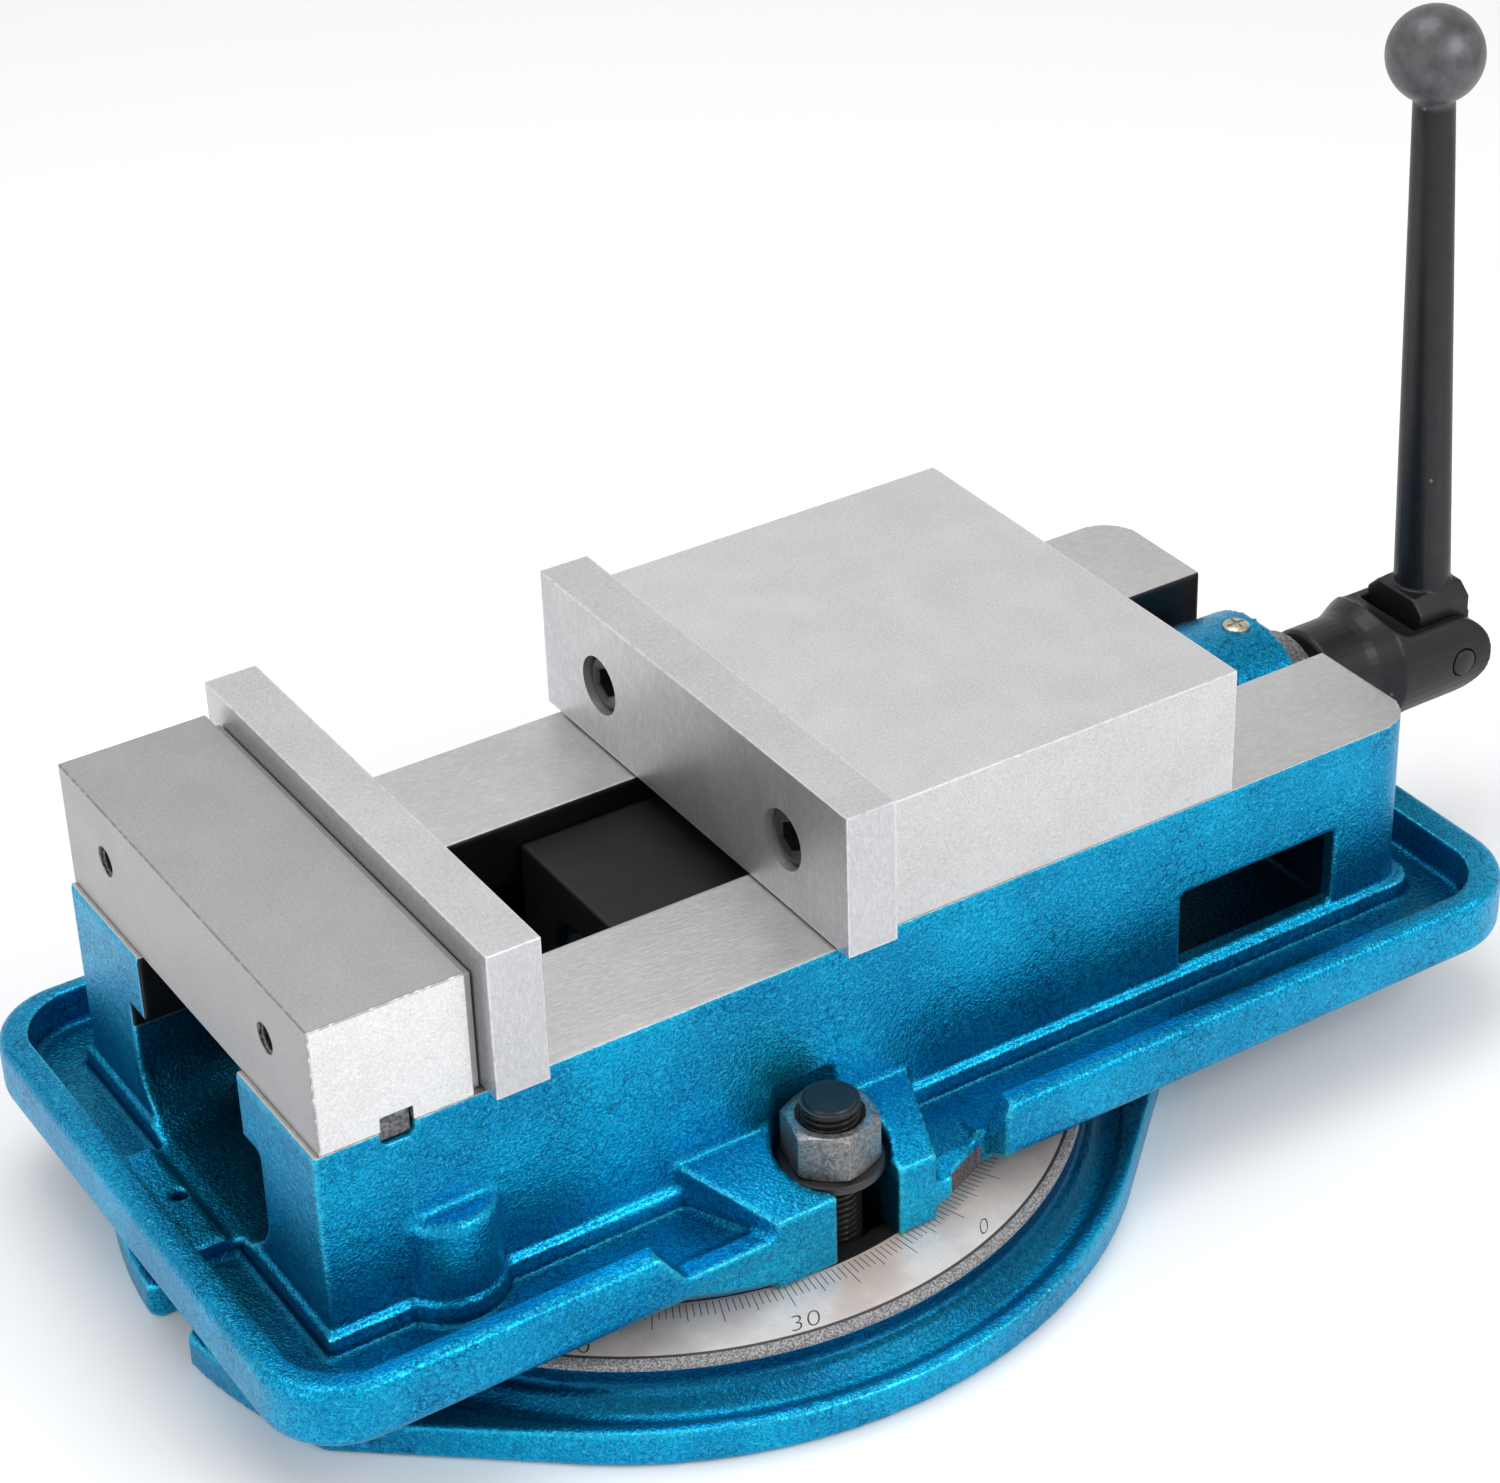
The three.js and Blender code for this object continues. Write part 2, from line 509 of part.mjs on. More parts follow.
function fixedJawBlock() {
  const floor = BED_Z + 0.1;
  const shoulder = FIXED.x1 - REBATE.width;
  const stock = join(
    box(FIXED.x0, shoulder, -BLOCK_HALF, BLOCK_HALF, floor, FIXED.top),
    box(shoulder - 1, FIXED.x1, -BLOCK_HALF + REBATE.depth, BLOCK_HALF - REBATE.depth,
      floor, FIXED.top - REBATE.depth));
  const tools = [box(KEY.x0 - FIT, KEY.x1 + FIT, -80, 80, BED_Z - 5, KEY.z1 + FIT)];
  for (const [, side] of sides) {
    tools.push(bar('x', END_HOLE.r, FIXED.x0 - 2, FIXED.x0 + END_HOLE.depth,
      [side * END_HOLE.y, END_HOLE.z], 32));
    tools.push(bar('z', JAW_BOLT.r + FIT, BED_Z - 2, JAW_BOLT.z1 + 1, [JAW_BOLT.x, side * JAW_BOLT.y], 20));
  }
  return cut(stock, ...tools, ...plateScrewHoles(FIXED.x1, -1));
}

part('fixed_jaw_block', fixedJawBlock(), groundSteel);
part('fixed_jaw_key', box(KEY.x0, KEY.x1, -70, 70, KEY.z0, KEY.z1), darkSteel);
part('fixed_jaw_plate', jawPlate(FIXED.plateX + JAW.thick, FIXED.plateX), jawSteel);
for (const [name, side] of sides) {
  const centre = [JAW_BOLT.x, side * JAW_BOLT.y];
  part(`fixed_jaw_bolt_${name}`, cut(
    join(
      bar('z', JAW_BOLT.headR, JAW_BOLT.head0, JAW_BOLT.head1, centre, 24),
      bar('z', JAW_BOLT.r, JAW_BOLT.head1 - 0.7, JAW_BOLT.z1, centre, 20)),
    hexBar('z', JAW_BOLT.socket, JAW_BOLT.head0 - 1, JAW_BOLT.head0 + 6, centre),
  ), blackOxide);
  part(`fixed_jaw_screw_${name}`, plateScrew(FIXED.plateX + JAW.thick, -1, side), blackOxide);
}

const blockX0 = MOVING.plateX + JAW.thick + 0.3;
const wedgeSum = WEDGE.x + WEDGE.z;

function movingJawBlock() {
  const floor = BED_Z + 0.3;
  const stock = join(
    box(blockX0, MOVING.x1, -BLOCK_HALF, BLOCK_HALF, floor, MOVING.top),
    // The tongue that guides the jaw between the rails.
    box(blockX0 + 2, POCKET.x1 + 6, -RAIL_INNER + 0.4, RAIL_INNER - 0.4, POCKET.z0 + 5, floor + 1));
  // The pocket for the nut's tower: its front wall leans back at 45 degrees and holds the half ball.
  const lean = wedgeSum - 1.4;
  const pocket = slab([
    [lean - POCKET.z0, POCKET.z0], [POCKET.x1, POCKET.z0], [POCKET.x1, POCKET.z1],
    [lean - POCKET.z1, POCKET.z1],
  ], -POCKET.half, POCKET.half);
  const socket = ball(WEDGE.ballR + FIT, WEDGE.x, 0, WEDGE.z);
  const rearHole = bar('x', REAR_SCREW.r + FIT, POCKET.x1 - 1, MOVING.x1 + 2, [0, REAR_SCREW.z], 20);
  return cut(stock, pocket, socket, rearHole, ...plateScrewHoles(blockX0, 1));
}

part('moving_jaw_block', movingJawBlock(), groundSteel);
part('moving_jaw_plate', jawPlate(MOVING.plateX, MOVING.plateX + JAW.thick), jawSteel);
for (const [name, side] of sides) {
  part(`moving_jaw_screw_${name}`, plateScrew(MOVING.plateX, 1, side), blackOxide);
}
part('rear_set_screw', cut(
  bar('x', REAR_SCREW.r, WEDGE.towerX + FIT, MOVING.x1 - 4, [0, REAR_SCREW.z], 20),
  hexBar('x', REAR_SCREW.r, MOVING.x1 - 12, MOVING.x1, [0, REAR_SCREW.z]),
), blackOxide);

// ---------------------------------------------------------------- nut and half ball
function jawNut() {
  const stem = box(NUT.x0, NUT.x1, -NUT.half, NUT.half, NUT.z0, NUT.z1);
  const face = wedgeSum + 0.3;
  const tower = slab([
    [face - NUT.z1 + 1, NUT.z1 - 1], [WEDGE.towerX, NUT.z1 - 1], [WEDGE.towerX, WEDGE.towerTop],
    [face - WEDGE.towerTop + 1, WEDGE.towerTop], [face - WEDGE.towerTop + 1, WEDGE.towerTop - 1],
  ], -WEDGE.towerHalf, WEDGE.towerHalf);
  // The body of the nut is relieved below its guide faces.
  const waist = 21;
  const relief = [[-NUT.half - 1, -waist], [waist, NUT.half + 1]].map(
    ([y0, y1]) => box(NUT.x0 - 1, NUT.x1 + 1, y0, y1, NUT.z0 - 1, 56));
  return cut(join(stem, tower), ...relief,
    bar('x', SCREW_R + FIT, NUT.x0 - 1, NUT.x1 + 1, [0, AXIS_Z], 32));
}

function halfBall() {
  const far = 60;
  const keep = slab([
    [wedgeSum - WEDGE.z - far, WEDGE.z + far], [wedgeSum - WEDGE.z - far, WEDGE.z - far],
    [wedgeSum - WEDGE.z + far, WEDGE.z - far],
  ], -30, 30);
  return ball(WEDGE.ballR, WEDGE.x, 0, WEDGE.z).intersect(keep);
}

part('jaw_nut', jawNut(), blackIron);
part('half_ball', halfBall(), plainSteel);

// ---------------------------------------------------------------- lead screw and crank hub
/** Turns [x, radius] steps round the screw's axis. */
function turned(steps, segments = 32) {
  const points = steps.map(([x, r]) => new THREE.Vector2(r, x));
  const geometry = new THREE.LatheGeometry(points, segments);
  geometry.rotateZ(-Math.PI / 2);
  geometry.translate(0, 0, AXIS_Z);
  return solid(geometry);
}

part('lead_screw', turned([
  [SCREW_START, 0], [SCREW_START, SCREW_R - 2], [SCREW_START + 2, SCREW_R],
  [THRUST.x0 - 2, SCREW_R], [THRUST.x0, SCREW_R - 1.5], [THRUST.x0, THRUST.r], [THRUST.x1, THRUST.r],
  [THRUST.x1, JOURNAL_R], [SHAFT.x0, JOURNAL_R], [SHAFT.x0, SHAFT.r],
  [SHAFT.x1 - 1, SHAFT.r], [SHAFT.x1, SHAFT.r - 1], [SHAFT.x1, 0],
]), plainSteel);
part('screw_collar', cut(
  turned([
    [COLLAR.x0, 0], [COLLAR.x0, COLLAR.r - 1], [COLLAR.x0 + 1, COLLAR.r], [COLLAR.x1 - 1, COLLAR.r],
    [COLLAR.x1, COLLAR.r - 1], [COLLAR.x1, 0],
  ]),
  bar('x', JOURNAL_R + FIT, COLLAR.x0 - 1, COLLAR.x1 + 1, [0, AXIS_Z], 32),
  bar('z', 2.5 + FIT, AXIS_Z, AXIS_Z + 25, [COLLAR.screwX, 0], 16),
), darkSteel);
part('collar_set_screw', bar('z', 2.5, AXIS_Z + JOURNAL_R + FIT, AXIS_Z + COLLAR.r - 0.8,
  [COLLAR.screwX, 0], 16), blackOxide);

/** The fork's outline seen from the side: straight flanks and a rounded end. */
function forkProfile() {
  const { x1, cornerR, flatHalf } = FORK;
  const shape = new THREE.Shape();
  shape.moveTo(HUB.x0 - 1, -30);
  shape.lineTo(HUB.slotX, -30);
  shape.lineTo(HUB.slotX, -flatHalf);
  shape.lineTo(x1 - cornerR, -flatHalf);
  shape.absarc(x1 - cornerR, -flatHalf + cornerR, cornerR, -Math.PI / 2, 0, false);
  shape.absarc(x1 - cornerR, flatHalf - cornerR, cornerR, 0, Math.PI / 2, false);
  shape.lineTo(HUB.slotX, flatHalf);
  shape.lineTo(HUB.slotX, 30);
  shape.lineTo(HUB.x0 - 1, 30);
  const geometry = new THREE.ExtrudeGeometry(shape, { depth: 60, bevelEnabled: false, curveSegments: 8 });
  geometry.rotateX(Math.PI / 2);
  geometry.translate(0, 30, AXIS_Z);
  return solid(geometry);
}

/** The fork that holds the handle: a round neck and head, milled flat above and below. */
function handleHub() {
  const round = turned([
    [HUB.x0, 0], [HUB.x0, HUB.neckR - 1.2], [HUB.x0 + 1.2, HUB.neckR], [HUB.flare, HUB.neckR],
    [HUB.flare + 3, HUB.neckR + 0.6], [HUB.shoulder, HUB.headR], [FORK.x1, HUB.headR], [FORK.x1, 0],
  ], 40);
  const scoopR = 9;
  const scoops = [-1, 1].map((up) => bar('y', scoopR, -30, 30,
    [HUB.flatX, AXIS_Z + up * (FORK.flatHalf + scoopR)], 36));
  return cut(round.intersect(forkProfile()), ...scoops,
    box(HUB.slotX, 300, -FORK.slotHalf, FORK.slotHalf, 30, 110),
    bar('y', PIN.r + FIT, -30, 30, [PIN.x, AXIS_Z], 20),
    bar('x', SHAFT.r + FIT, HUB.x0 - 10, SHAFT.x1 + 1, [0, AXIS_Z], 28));
}

part('handle_hub', handleHub(), blackOxide);
part('handle_pin', bar('y', PIN.r, -HUB.headR - 0.3, HUB.headR + 0.3, [PIN.x, AXIS_Z], 20), darkSteel);

// ---------------------------------------------------------------- folding handle
/** The arm is drawn upright round its pin at the origin, then leaned by its rest angle. */
function handleArm() {
  const { footLeft, footRight, footHalf, footTop } = ARM;
  const from = footTop - 2;
  const to = HANDLE_BALL.z - HANDLE_BALL.r + 2;
  const chamfer = 4;
  const knuckleR = 8.4;
  const rod = lathe([[0, from], [ROD.baseR, from], [ROD.topR, to], [0, to]], 28);
  const foot = rail(polygon([
    [-footHalf, 0], [footHalf, 0], [footHalf, footTop - chamfer], [footHalf - chamfer, footTop],
    [chamfer - footHalf, footTop], [-footHalf, footTop - chamfer],
  ]), footLeft, footRight);
  const knuckle = bar('y', knuckleR, -footHalf, footHalf, [0, 0], 32);
  const head = ball(HANDLE_BALL.r, 0, 0, HANDLE_BALL.z, 26, 16);
  return cut(join(rod, foot, knuckle, head), bar('y', PIN.r + FIT, -30, 30, [0, 0], 20));
}

const handle = new THREE.Group();
handle.position.set(PIN.x, 0, AXIS_Z);
handle.rotation.y = turn(ARM.tilt);
vise.add(handle);
part('handle_arm', handleArm(), blackOxide, handle);

// ---------------------------------------------------------------- clamp bolts
for (const [name, side] of sides) {
  const centre = [BOLT.x, side * BOLT.y];
  part(`clamp_bolt_${name}`, join(
    box(BOLT.x - BOLT_HEAD.half, BOLT.x + BOLT_HEAD.half, side * BOLT.y - BOLT_HEAD.half,
      side * BOLT.y + BOLT_HEAD.half, BOLT_HEAD.z0, BOLT_HEAD.z1),
    bar('z', BOLT.r, BOLT_HEAD.z1 - 0.6, BOLT.top - 1.2, centre, 28),
    bar('z', BOLT.r, BOLT.top - 1.2, BOLT.top, centre, 28, BOLT.r - 1.2),
  ), blackOxide);
  const nutZ = CLAMP.washerTop + 0.2;
  part(`clamp_washer_${name}`, cut(
    bar('z', CLAMP.washerR, SEAT_Z + 0.2, CLAMP.washerTop, centre, 32),
    bar('z', BOLT.r + 0.7, 30, 50, centre, 28),
  ), blackOxide);
  const corner = CLAMP.acrossFlats / Math.sqrt(3) + 0.4;
  const chamfer = lathe([
    [0, nutZ], [corner - 1.6, nutZ], [corner, nutZ + 1], [corner, CLAMP.nutTop - 1.3],
    [corner - 2.2, CLAMP.nutTop], [0, CLAMP.nutTop],
  ], 32, ...centre);
  part(`clamp_nut_${name}`, cut(
    hexBar('z', CLAMP.acrossFlats, nutZ, CLAMP.nutTop, centre, side < 0 ? CLAMP.spin : -CLAMP.spin)
      .intersect(chamfer),
    bar('z', BOLT.r + FIT, 30, 60, centre, 28),
  ), darkSteel);
}

export default vise;
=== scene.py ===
"""Machine vise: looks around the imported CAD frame. Metres, +Z up, +X towards the handle."""

import math

import bmesh
import bpy
import numpy as np
from mathutils import Matrix, Vector


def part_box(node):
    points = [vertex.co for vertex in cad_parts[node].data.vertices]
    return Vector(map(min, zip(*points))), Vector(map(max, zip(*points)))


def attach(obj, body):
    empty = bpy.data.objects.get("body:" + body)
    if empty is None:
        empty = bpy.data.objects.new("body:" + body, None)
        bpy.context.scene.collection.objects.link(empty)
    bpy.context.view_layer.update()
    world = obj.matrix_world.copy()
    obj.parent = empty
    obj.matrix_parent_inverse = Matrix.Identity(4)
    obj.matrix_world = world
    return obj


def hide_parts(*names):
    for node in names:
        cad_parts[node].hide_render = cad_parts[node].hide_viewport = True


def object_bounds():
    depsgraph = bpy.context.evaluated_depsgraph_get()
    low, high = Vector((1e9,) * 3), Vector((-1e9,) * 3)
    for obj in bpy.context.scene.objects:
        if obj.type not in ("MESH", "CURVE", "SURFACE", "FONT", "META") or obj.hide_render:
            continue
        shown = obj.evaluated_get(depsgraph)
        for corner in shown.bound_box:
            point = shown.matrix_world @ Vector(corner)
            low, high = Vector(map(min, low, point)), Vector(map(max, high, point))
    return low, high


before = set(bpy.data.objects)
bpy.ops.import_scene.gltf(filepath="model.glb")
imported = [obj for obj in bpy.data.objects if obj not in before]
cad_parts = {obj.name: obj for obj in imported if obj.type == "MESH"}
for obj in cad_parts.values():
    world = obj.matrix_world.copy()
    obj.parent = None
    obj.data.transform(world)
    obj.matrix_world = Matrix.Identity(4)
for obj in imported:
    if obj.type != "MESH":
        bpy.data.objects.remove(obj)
cad_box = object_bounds()
MM = 0.001

# ---------------------------------------------------------------- camera
CAMERA_AT = Vector((-0.4022, -0.7146, 0.6446))
CAMERA_AZIMUTH = math.radians(-33.75)
CAMERA_ELEVATION = math.radians(31.27)
CAMERA_ROLL = math.radians(-0.78)
CAMERA_LENS = 88.68
CAMERA_SHIFT = (-0.0807, -0.0460)


def add_camera():
    back = Vector((
        math.sin(CAMERA_AZIMUTH) * math.cos(CAMERA_ELEVATION),
        -math.cos(CAMERA_AZIMUTH) * math.cos(CAMERA_ELEVATION),
        math.sin(CAMERA_ELEVATION)))
    right = Vector((math.cos(CAMERA_AZIMUTH), math.sin(CAMERA_AZIMUTH), 0))
    up = back.cross(right)
    c, s = math.cos(CAMERA_ROLL), math.sin(CAMERA_ROLL)
    rolled_right = c * right + s * up
    rolled_up = c * up - s * right
    turn = Matrix((rolled_right, rolled_up, back)).transposed().to_4x4()
    data = bpy.data.cameras.new("camera")
    data.lens = CAMERA_LENS
    data.sensor_width = 36
    data.shift_x, data.shift_y = CAMERA_SHIFT
    data.clip_start = 0.01
    camera = bpy.data.objects.new("camera", data)
    camera.matrix_world = Matrix.Translation(CAMERA_AT) @ turn
    bpy.context.scene.collection.objects.link(camera)
    bpy.context.scene.camera = camera


# ---------------------------------------------------------------- light and floor
def area_light(name, at, target, size, power):
    data = bpy.data.lights.new(name, "AREA")
    data.shape = "RECTANGLE"
    data.size, data.size_y = size
    data.energy = power
    light = bpy.data.objects.new(name, data)
    light.location = at
    light.rotation_euler = (Vector(target) - Vector(at)).to_track_quat("-Z", "Y").to_euler()
    bpy.context.scene.collection.objects.link(light)


def add_world():
    """White surroundings, greyer overhead."""
    world = bpy.data.worlds.new("studio")
    bpy.context.scene.world = world
    world.use_nodes = True
    tree = world.node_tree
    background = tree.nodes["Background"]
    position = tree.nodes.new("ShaderNodeTexCoord")
    split = tree.nodes.new("ShaderNodeSeparateXYZ")
    ramp = tree.nodes.new("ShaderNodeValToRGB")
    tree.links.new(position.outputs["Generated"], split.inputs[0])
    tree.links.new(split.outputs["Z"], ramp.inputs[0])
    tree.links.new(ramp.outputs[0], background.inputs[0])
    ramp.color_ramp.elements[0].color = (0.95, 0.95, 0.955, 1)
    ramp.color_ramp.elements[0].position = 0.0
    ramp.color_ramp.elements[1].color = (0.60, 0.60, 0.605, 1)
    ramp.color_ramp.elements[1].position = 0.80
    background.inputs[1].default_value = 1.0


def add_lights():
    area_light("key", (0.5, -1.2, 1.1), (0.05, 0, 0.05), (0.9, 0.7), 9)
    area_light("top", (-0.1, 0.25, 1.5), (0.05, 0, 0.05), (1.2, 0.9), 9)
    area_light("left", (-1.4, -0.4, 0.8), (0, 0, 0.05), (0.7, 0.9), 4)


FLOOR_REACH = 4.0
FLOOR_GAP = 0.0004


def add_floor():
    reach, z = FLOOR_REACH, cad_box[0][2] - FLOOR_GAP
    square = [(-reach, -reach, z), (reach, -reach, z), (reach, reach, z), (-reach, reach, z)]
    mesh = bpy.data.meshes.new("floor")
    mesh.from_pydata(square, [], [(0, 1, 2, 3)])
    floor = bpy.data.objects.new("floor", mesh)
    bpy.context.scene.collection.objects.link(floor)
    sheet = bpy.data.materials.new("floor")
    sheet.use_nodes = True
    shader = sheet.node_tree.nodes["Principled BSDF"]
    shader.inputs["Base Color"].default_value = (0.93, 0.93, 0.935, 1)
    shader.inputs["Roughness"].default_value = 0.9
    shader.inputs["Specular IOR Level"].default_value = 0.1
    mesh.materials.append(sheet)


# ---------------------------------------------------------------- materials
class Graph:
    """A short way to write a material's nodes. Positions are in millimetres in the part's own frame."""

    def __init__(self, name):
        self.material = bpy.data.materials.new(name)
        self.material.use_nodes = True
        self.tree = self.material.node_tree
        self.shader = self.tree.nodes["Principled BSDF"]
        texture = self.tree.nodes.new("ShaderNodeTexCoord")
        scale = self.tree.nodes.new("ShaderNodeVectorMath")
        scale.operation = "SCALE"
        scale.inputs["Scale"].default_value = 1 / MM
        self.tree.links.new(texture.outputs["Object"], scale.inputs[0])
        self.place = scale.outputs[0]

    def put(self, value, socket):
        if isinstance(value, bpy.types.NodeSocket):
            self.tree.links.new(value, socket)
        elif isinstance(value, (tuple, list)) and len(value) == 3 and socket.type == "RGBA":
            socket.default_value = (*value, 1)
        else:
            socket.default_value = value

    def math(self, operation, a, b=0.0, c=0.0):
        node = self.tree.nodes.new("ShaderNodeMath")
        node.operation = operation
        for value, socket in zip((a, b, c), node.inputs):
            self.put(value, socket)
        return node.outputs[0]

    def mix(self, amount, a, b, blend="MIX"):
        node = self.tree.nodes.new("ShaderNodeMix")
        node.data_type = "RGBA"
        node.blend_type = blend
        self.put(amount, node.inputs["Factor"])
        self.put(a, node.inputs["A"])
        self.put(b, node.inputs["B"])
        return node.outputs["Result"]

    def step(self, value, low, high):
        """0 below `low`, 1 above `high`, and smooth between; `low` may be the greater."""
        node = self.tree.nodes.new("ShaderNodeMapRange")
        node.interpolation_type = "SMOOTHSTEP"
        flip = low > high
        self.put(value, node.inputs["Value"])
        node.inputs["From Min"].default_value = min(low, high)
        node.inputs["From Max"].default_value = max(low, high)
        node.inputs["To Min"].default_value = 1.0 if flip else 0.0
        node.inputs["To Max"].default_value = 0.0 if flip else 1.0
        return node.outputs["Result"]

    def stretched(self, x, y, z):
        node = self.tree.nodes.new("ShaderNodeVectorMath")
        node.operation = "MULTIPLY"
        self.put(self.place, node.inputs[0])
        node.inputs[1].default_value = (x, y, z)
        return node.outputs[0]

    def noise(self, size, detail=3.0, roughness=0.5, place=None):
        """Noise with features about `size` millimetres across."""
        node = self.tree.nodes.new("ShaderNodeTexNoise")
        self.put(place or self.place, node.inputs["Vector"])
        node.inputs["Scale"].default_value = 1 / size
        node.inputs["Detail"].default_value = detail
        node.inputs["Roughness"].default_value = roughness
        return node.outputs["Fac"]

    def bent(self, amount, size):
        """The place, pushed about by `amount` millimetres of noise."""
        noise = self.tree.nodes.new("ShaderNodeTexNoise")
        self.put(self.place, noise.inputs["Vector"])
        noise.inputs["Scale"].default_value = 1 / size
        push = self.tree.nodes.new("ShaderNodeVectorMath")
        push.operation = "MULTIPLY_ADD"
        self.put(noise.outputs["Color"], push.inputs[0])
        push.inputs[1].default_value = (amount, amount, amount)
        self.put(self.place, push.inputs[2])
        return push.outputs[0]

    def cell_borders(self, size, place):
        """How far a place is from the borders of a network of cells."""
        node = self.tree.nodes.new("ShaderNodeTexVoronoi")
        node.feature = "DISTANCE_TO_EDGE"
        self.put(place, node.inputs["Vector"])
        node.inputs["Scale"].default_value = 1 / size
        return node.outputs["Distance"]

    def edges(self):
        """Above a half on outside corners, below a half in hollows."""
        return self.tree.nodes.new("ShaderNodeNewGeometry").outputs["Pointiness"]

    def worms(self, size, width, place=None):
        """Short curved strokes, like the wrinkles of thick paint."""
        off_middle = self.math("ABSOLUTE", self.math("SUBTRACT", self.noise(size, 1, 0.4, place), 0.5))
        return self.step(off_middle, width, 0.0)

    def box_edge(self, low, high, width):
        """1 along the edges of a box given in millimetres, and 0 on its faces."""
        depths = []
        for value, a, b in zip(self.axes(), low, high):
            off = self.math("ABSOLUTE", self.math("SUBTRACT", value, (a + b) / 2))
            depths.append(self.math("SUBTRACT", (b - a) / 2, off))
        a, b, c = depths
        second = self.math("MAXIMUM", self.math("MINIMUM", a, b),
                           self.math("MINIMUM", self.math("MAXIMUM", a, b), c))
        return self.step(second, width, width * 0.3)

    def both(self, first, *rest):
        """The masks' product: 1 only where all of them are."""
        for value in rest:
            first = self.math("MULTIPLY", first, value)
        return first

    def axes(self):
        """X, Y and Z in millimetres."""
        node = self.tree.nodes.new("ShaderNodeSeparateXYZ")
        self.put(self.place, node.inputs[0])
        return node.outputs[0], node.outputs[1], node.outputs[2]

    def bump(self, height, strength, distance):
        """`distance` is the bump's depth in millimetres."""
        node = self.tree.nodes.new("ShaderNodeBump")
        self.put(height, node.inputs["Height"])
        node.inputs["Strength"].default_value = strength
        node.inputs["Distance"].default_value = distance * MM
        self.put(node.outputs[0], self.shader.inputs["Normal"])

    def surface(self, **values):
        for name, value in values.items():
            self.put(value, self.shader.inputs[name.replace("_", " ")])
        return self.material


# The bright cyan tone is a painted highlight, for glints and outside edges; the shade tone and the groove
# tone are painted shade.
PAINT = {"deep": (0.0, 0.085, 0.22), "mid": (0.0, 0.255, 0.50), "light": (0.0, 0.375, 0.66),
         "rim": (0.07, 0.72, 0.90), "vein": (0.0, 0.035, 0.10), "shade": (0.0, 0.012, 0.028),
         "ditch_shade": (0.0, 0.035, 0.09)}
PAINT_ROUGH = ((0.30, 0.30, 0.30), (0.42, 0.42, 0.42))
PAINT_METAL = (0.94, 0.94, 0.94)
PAINT_COAT = {"Coat_Weight": 0.02, "Coat_Roughness": 0.22}
PAINT_BUMP = (0.6, 0.20)
STEEL = (0.60, 0.592, 0.59)
DARK_IRON = (0.03, 0.031, 0.033)
PAD_STEEL = ((0.075, 0.07, 0.08), (0.20, 0.19, 0.21))
RING_STEEL = ((0.66, 0.56, 0.51), (0.85, 0.73, 0.66))
CHAMFER_STEEL = ((0.13, 0.127, 0.13), (0.40, 0.39, 0.395))


def paint_colour(g):
    """Wrinkled metallic blue: soft tone changes, fine strokes, a patchy network of thin dark veins; painted
    glints on the strokes, a painted highlight along outside edges and painted shade in creases.
    """
    tone = g.mix(g.step(g.noise(38, 2), 0.35, 0.68), PAINT["mid"], PAINT["light"])
    tone = g.mix(g.math("MULTIPLY", g.worms(1.3, 0.09), 0.6), tone, PAINT["deep"])
    # Painted glints: bright strokes for the light caught by wrinkled paint.
    glints = g.worms(1.5, 0.05, g.bent(3.0, 4.0))
    tone = g.mix(g.math("MULTIPLY", glints, 0.35), tone, PAINT["rim"])
    lines = g.step(g.cell_borders(4.4, g.bent(5.0, 4.5)), 0.05, 0.0)
    patches = g.step(g.noise(24, 2), 0.46, 0.60)
    tone = g.mix(g.both(lines, patches, 0.65), tone, PAINT["vein"])
    # Painted highlight along outside edges, broken up by noise.
    edge_highlight = g.step(g.edges(), 0.512, 0.575)
    ragged = g.step(g.noise(1.3, 3, 0.7), 0.30, 0.62)
    tone = g.mix(g.both(edge_highlight, ragged, 0.9), tone, PAINT["rim"])
    # Painted shade in creases and hollows.
    crease_shade = g.step(g.edges(), 0.490, 0.44)
    return g.mix(g.math("MULTIPLY", crease_shade, 0.7), tone, PAINT["deep"])


def paint_height(g):
    """Soft lumps with a finer orange peel and raised strokes on them."""
    peel = g.math("MULTIPLY", g.worms(1.3, 0.16), 0.4)
    lumps = g.math("MULTIPLY", g.noise(4.0, 2), 1.6)
    return g.math("ADD", g.math("ADD", g.noise(1.0, 2, 0.6), lumps), peel)


def steel_colour(g, place, base=STEEL):
    """Ground steel: cloudy patches and fine straight grain along `place`'s long direction."""
    cloud = g.step(g.noise(22, 4, 0.6), 0.3, 0.72)
    dark = tuple(0.92 * c for c in base)
    tone = g.mix(cloud, dark, base)
    grain = g.noise(0.8, 3, 0.7, place)
    tone = g.mix(g.math("MULTIPLY", g.step(grain, 0.42, 0.70), 0.45), tone, tuple(1.28 * c for c in base))
    specks = g.step(g.noise(0.7, 2), 0.66, 0.76)
    return g.mix(g.math("MULTIPLY", specks, 0.4), tone, tuple(0.5 * c for c in base))


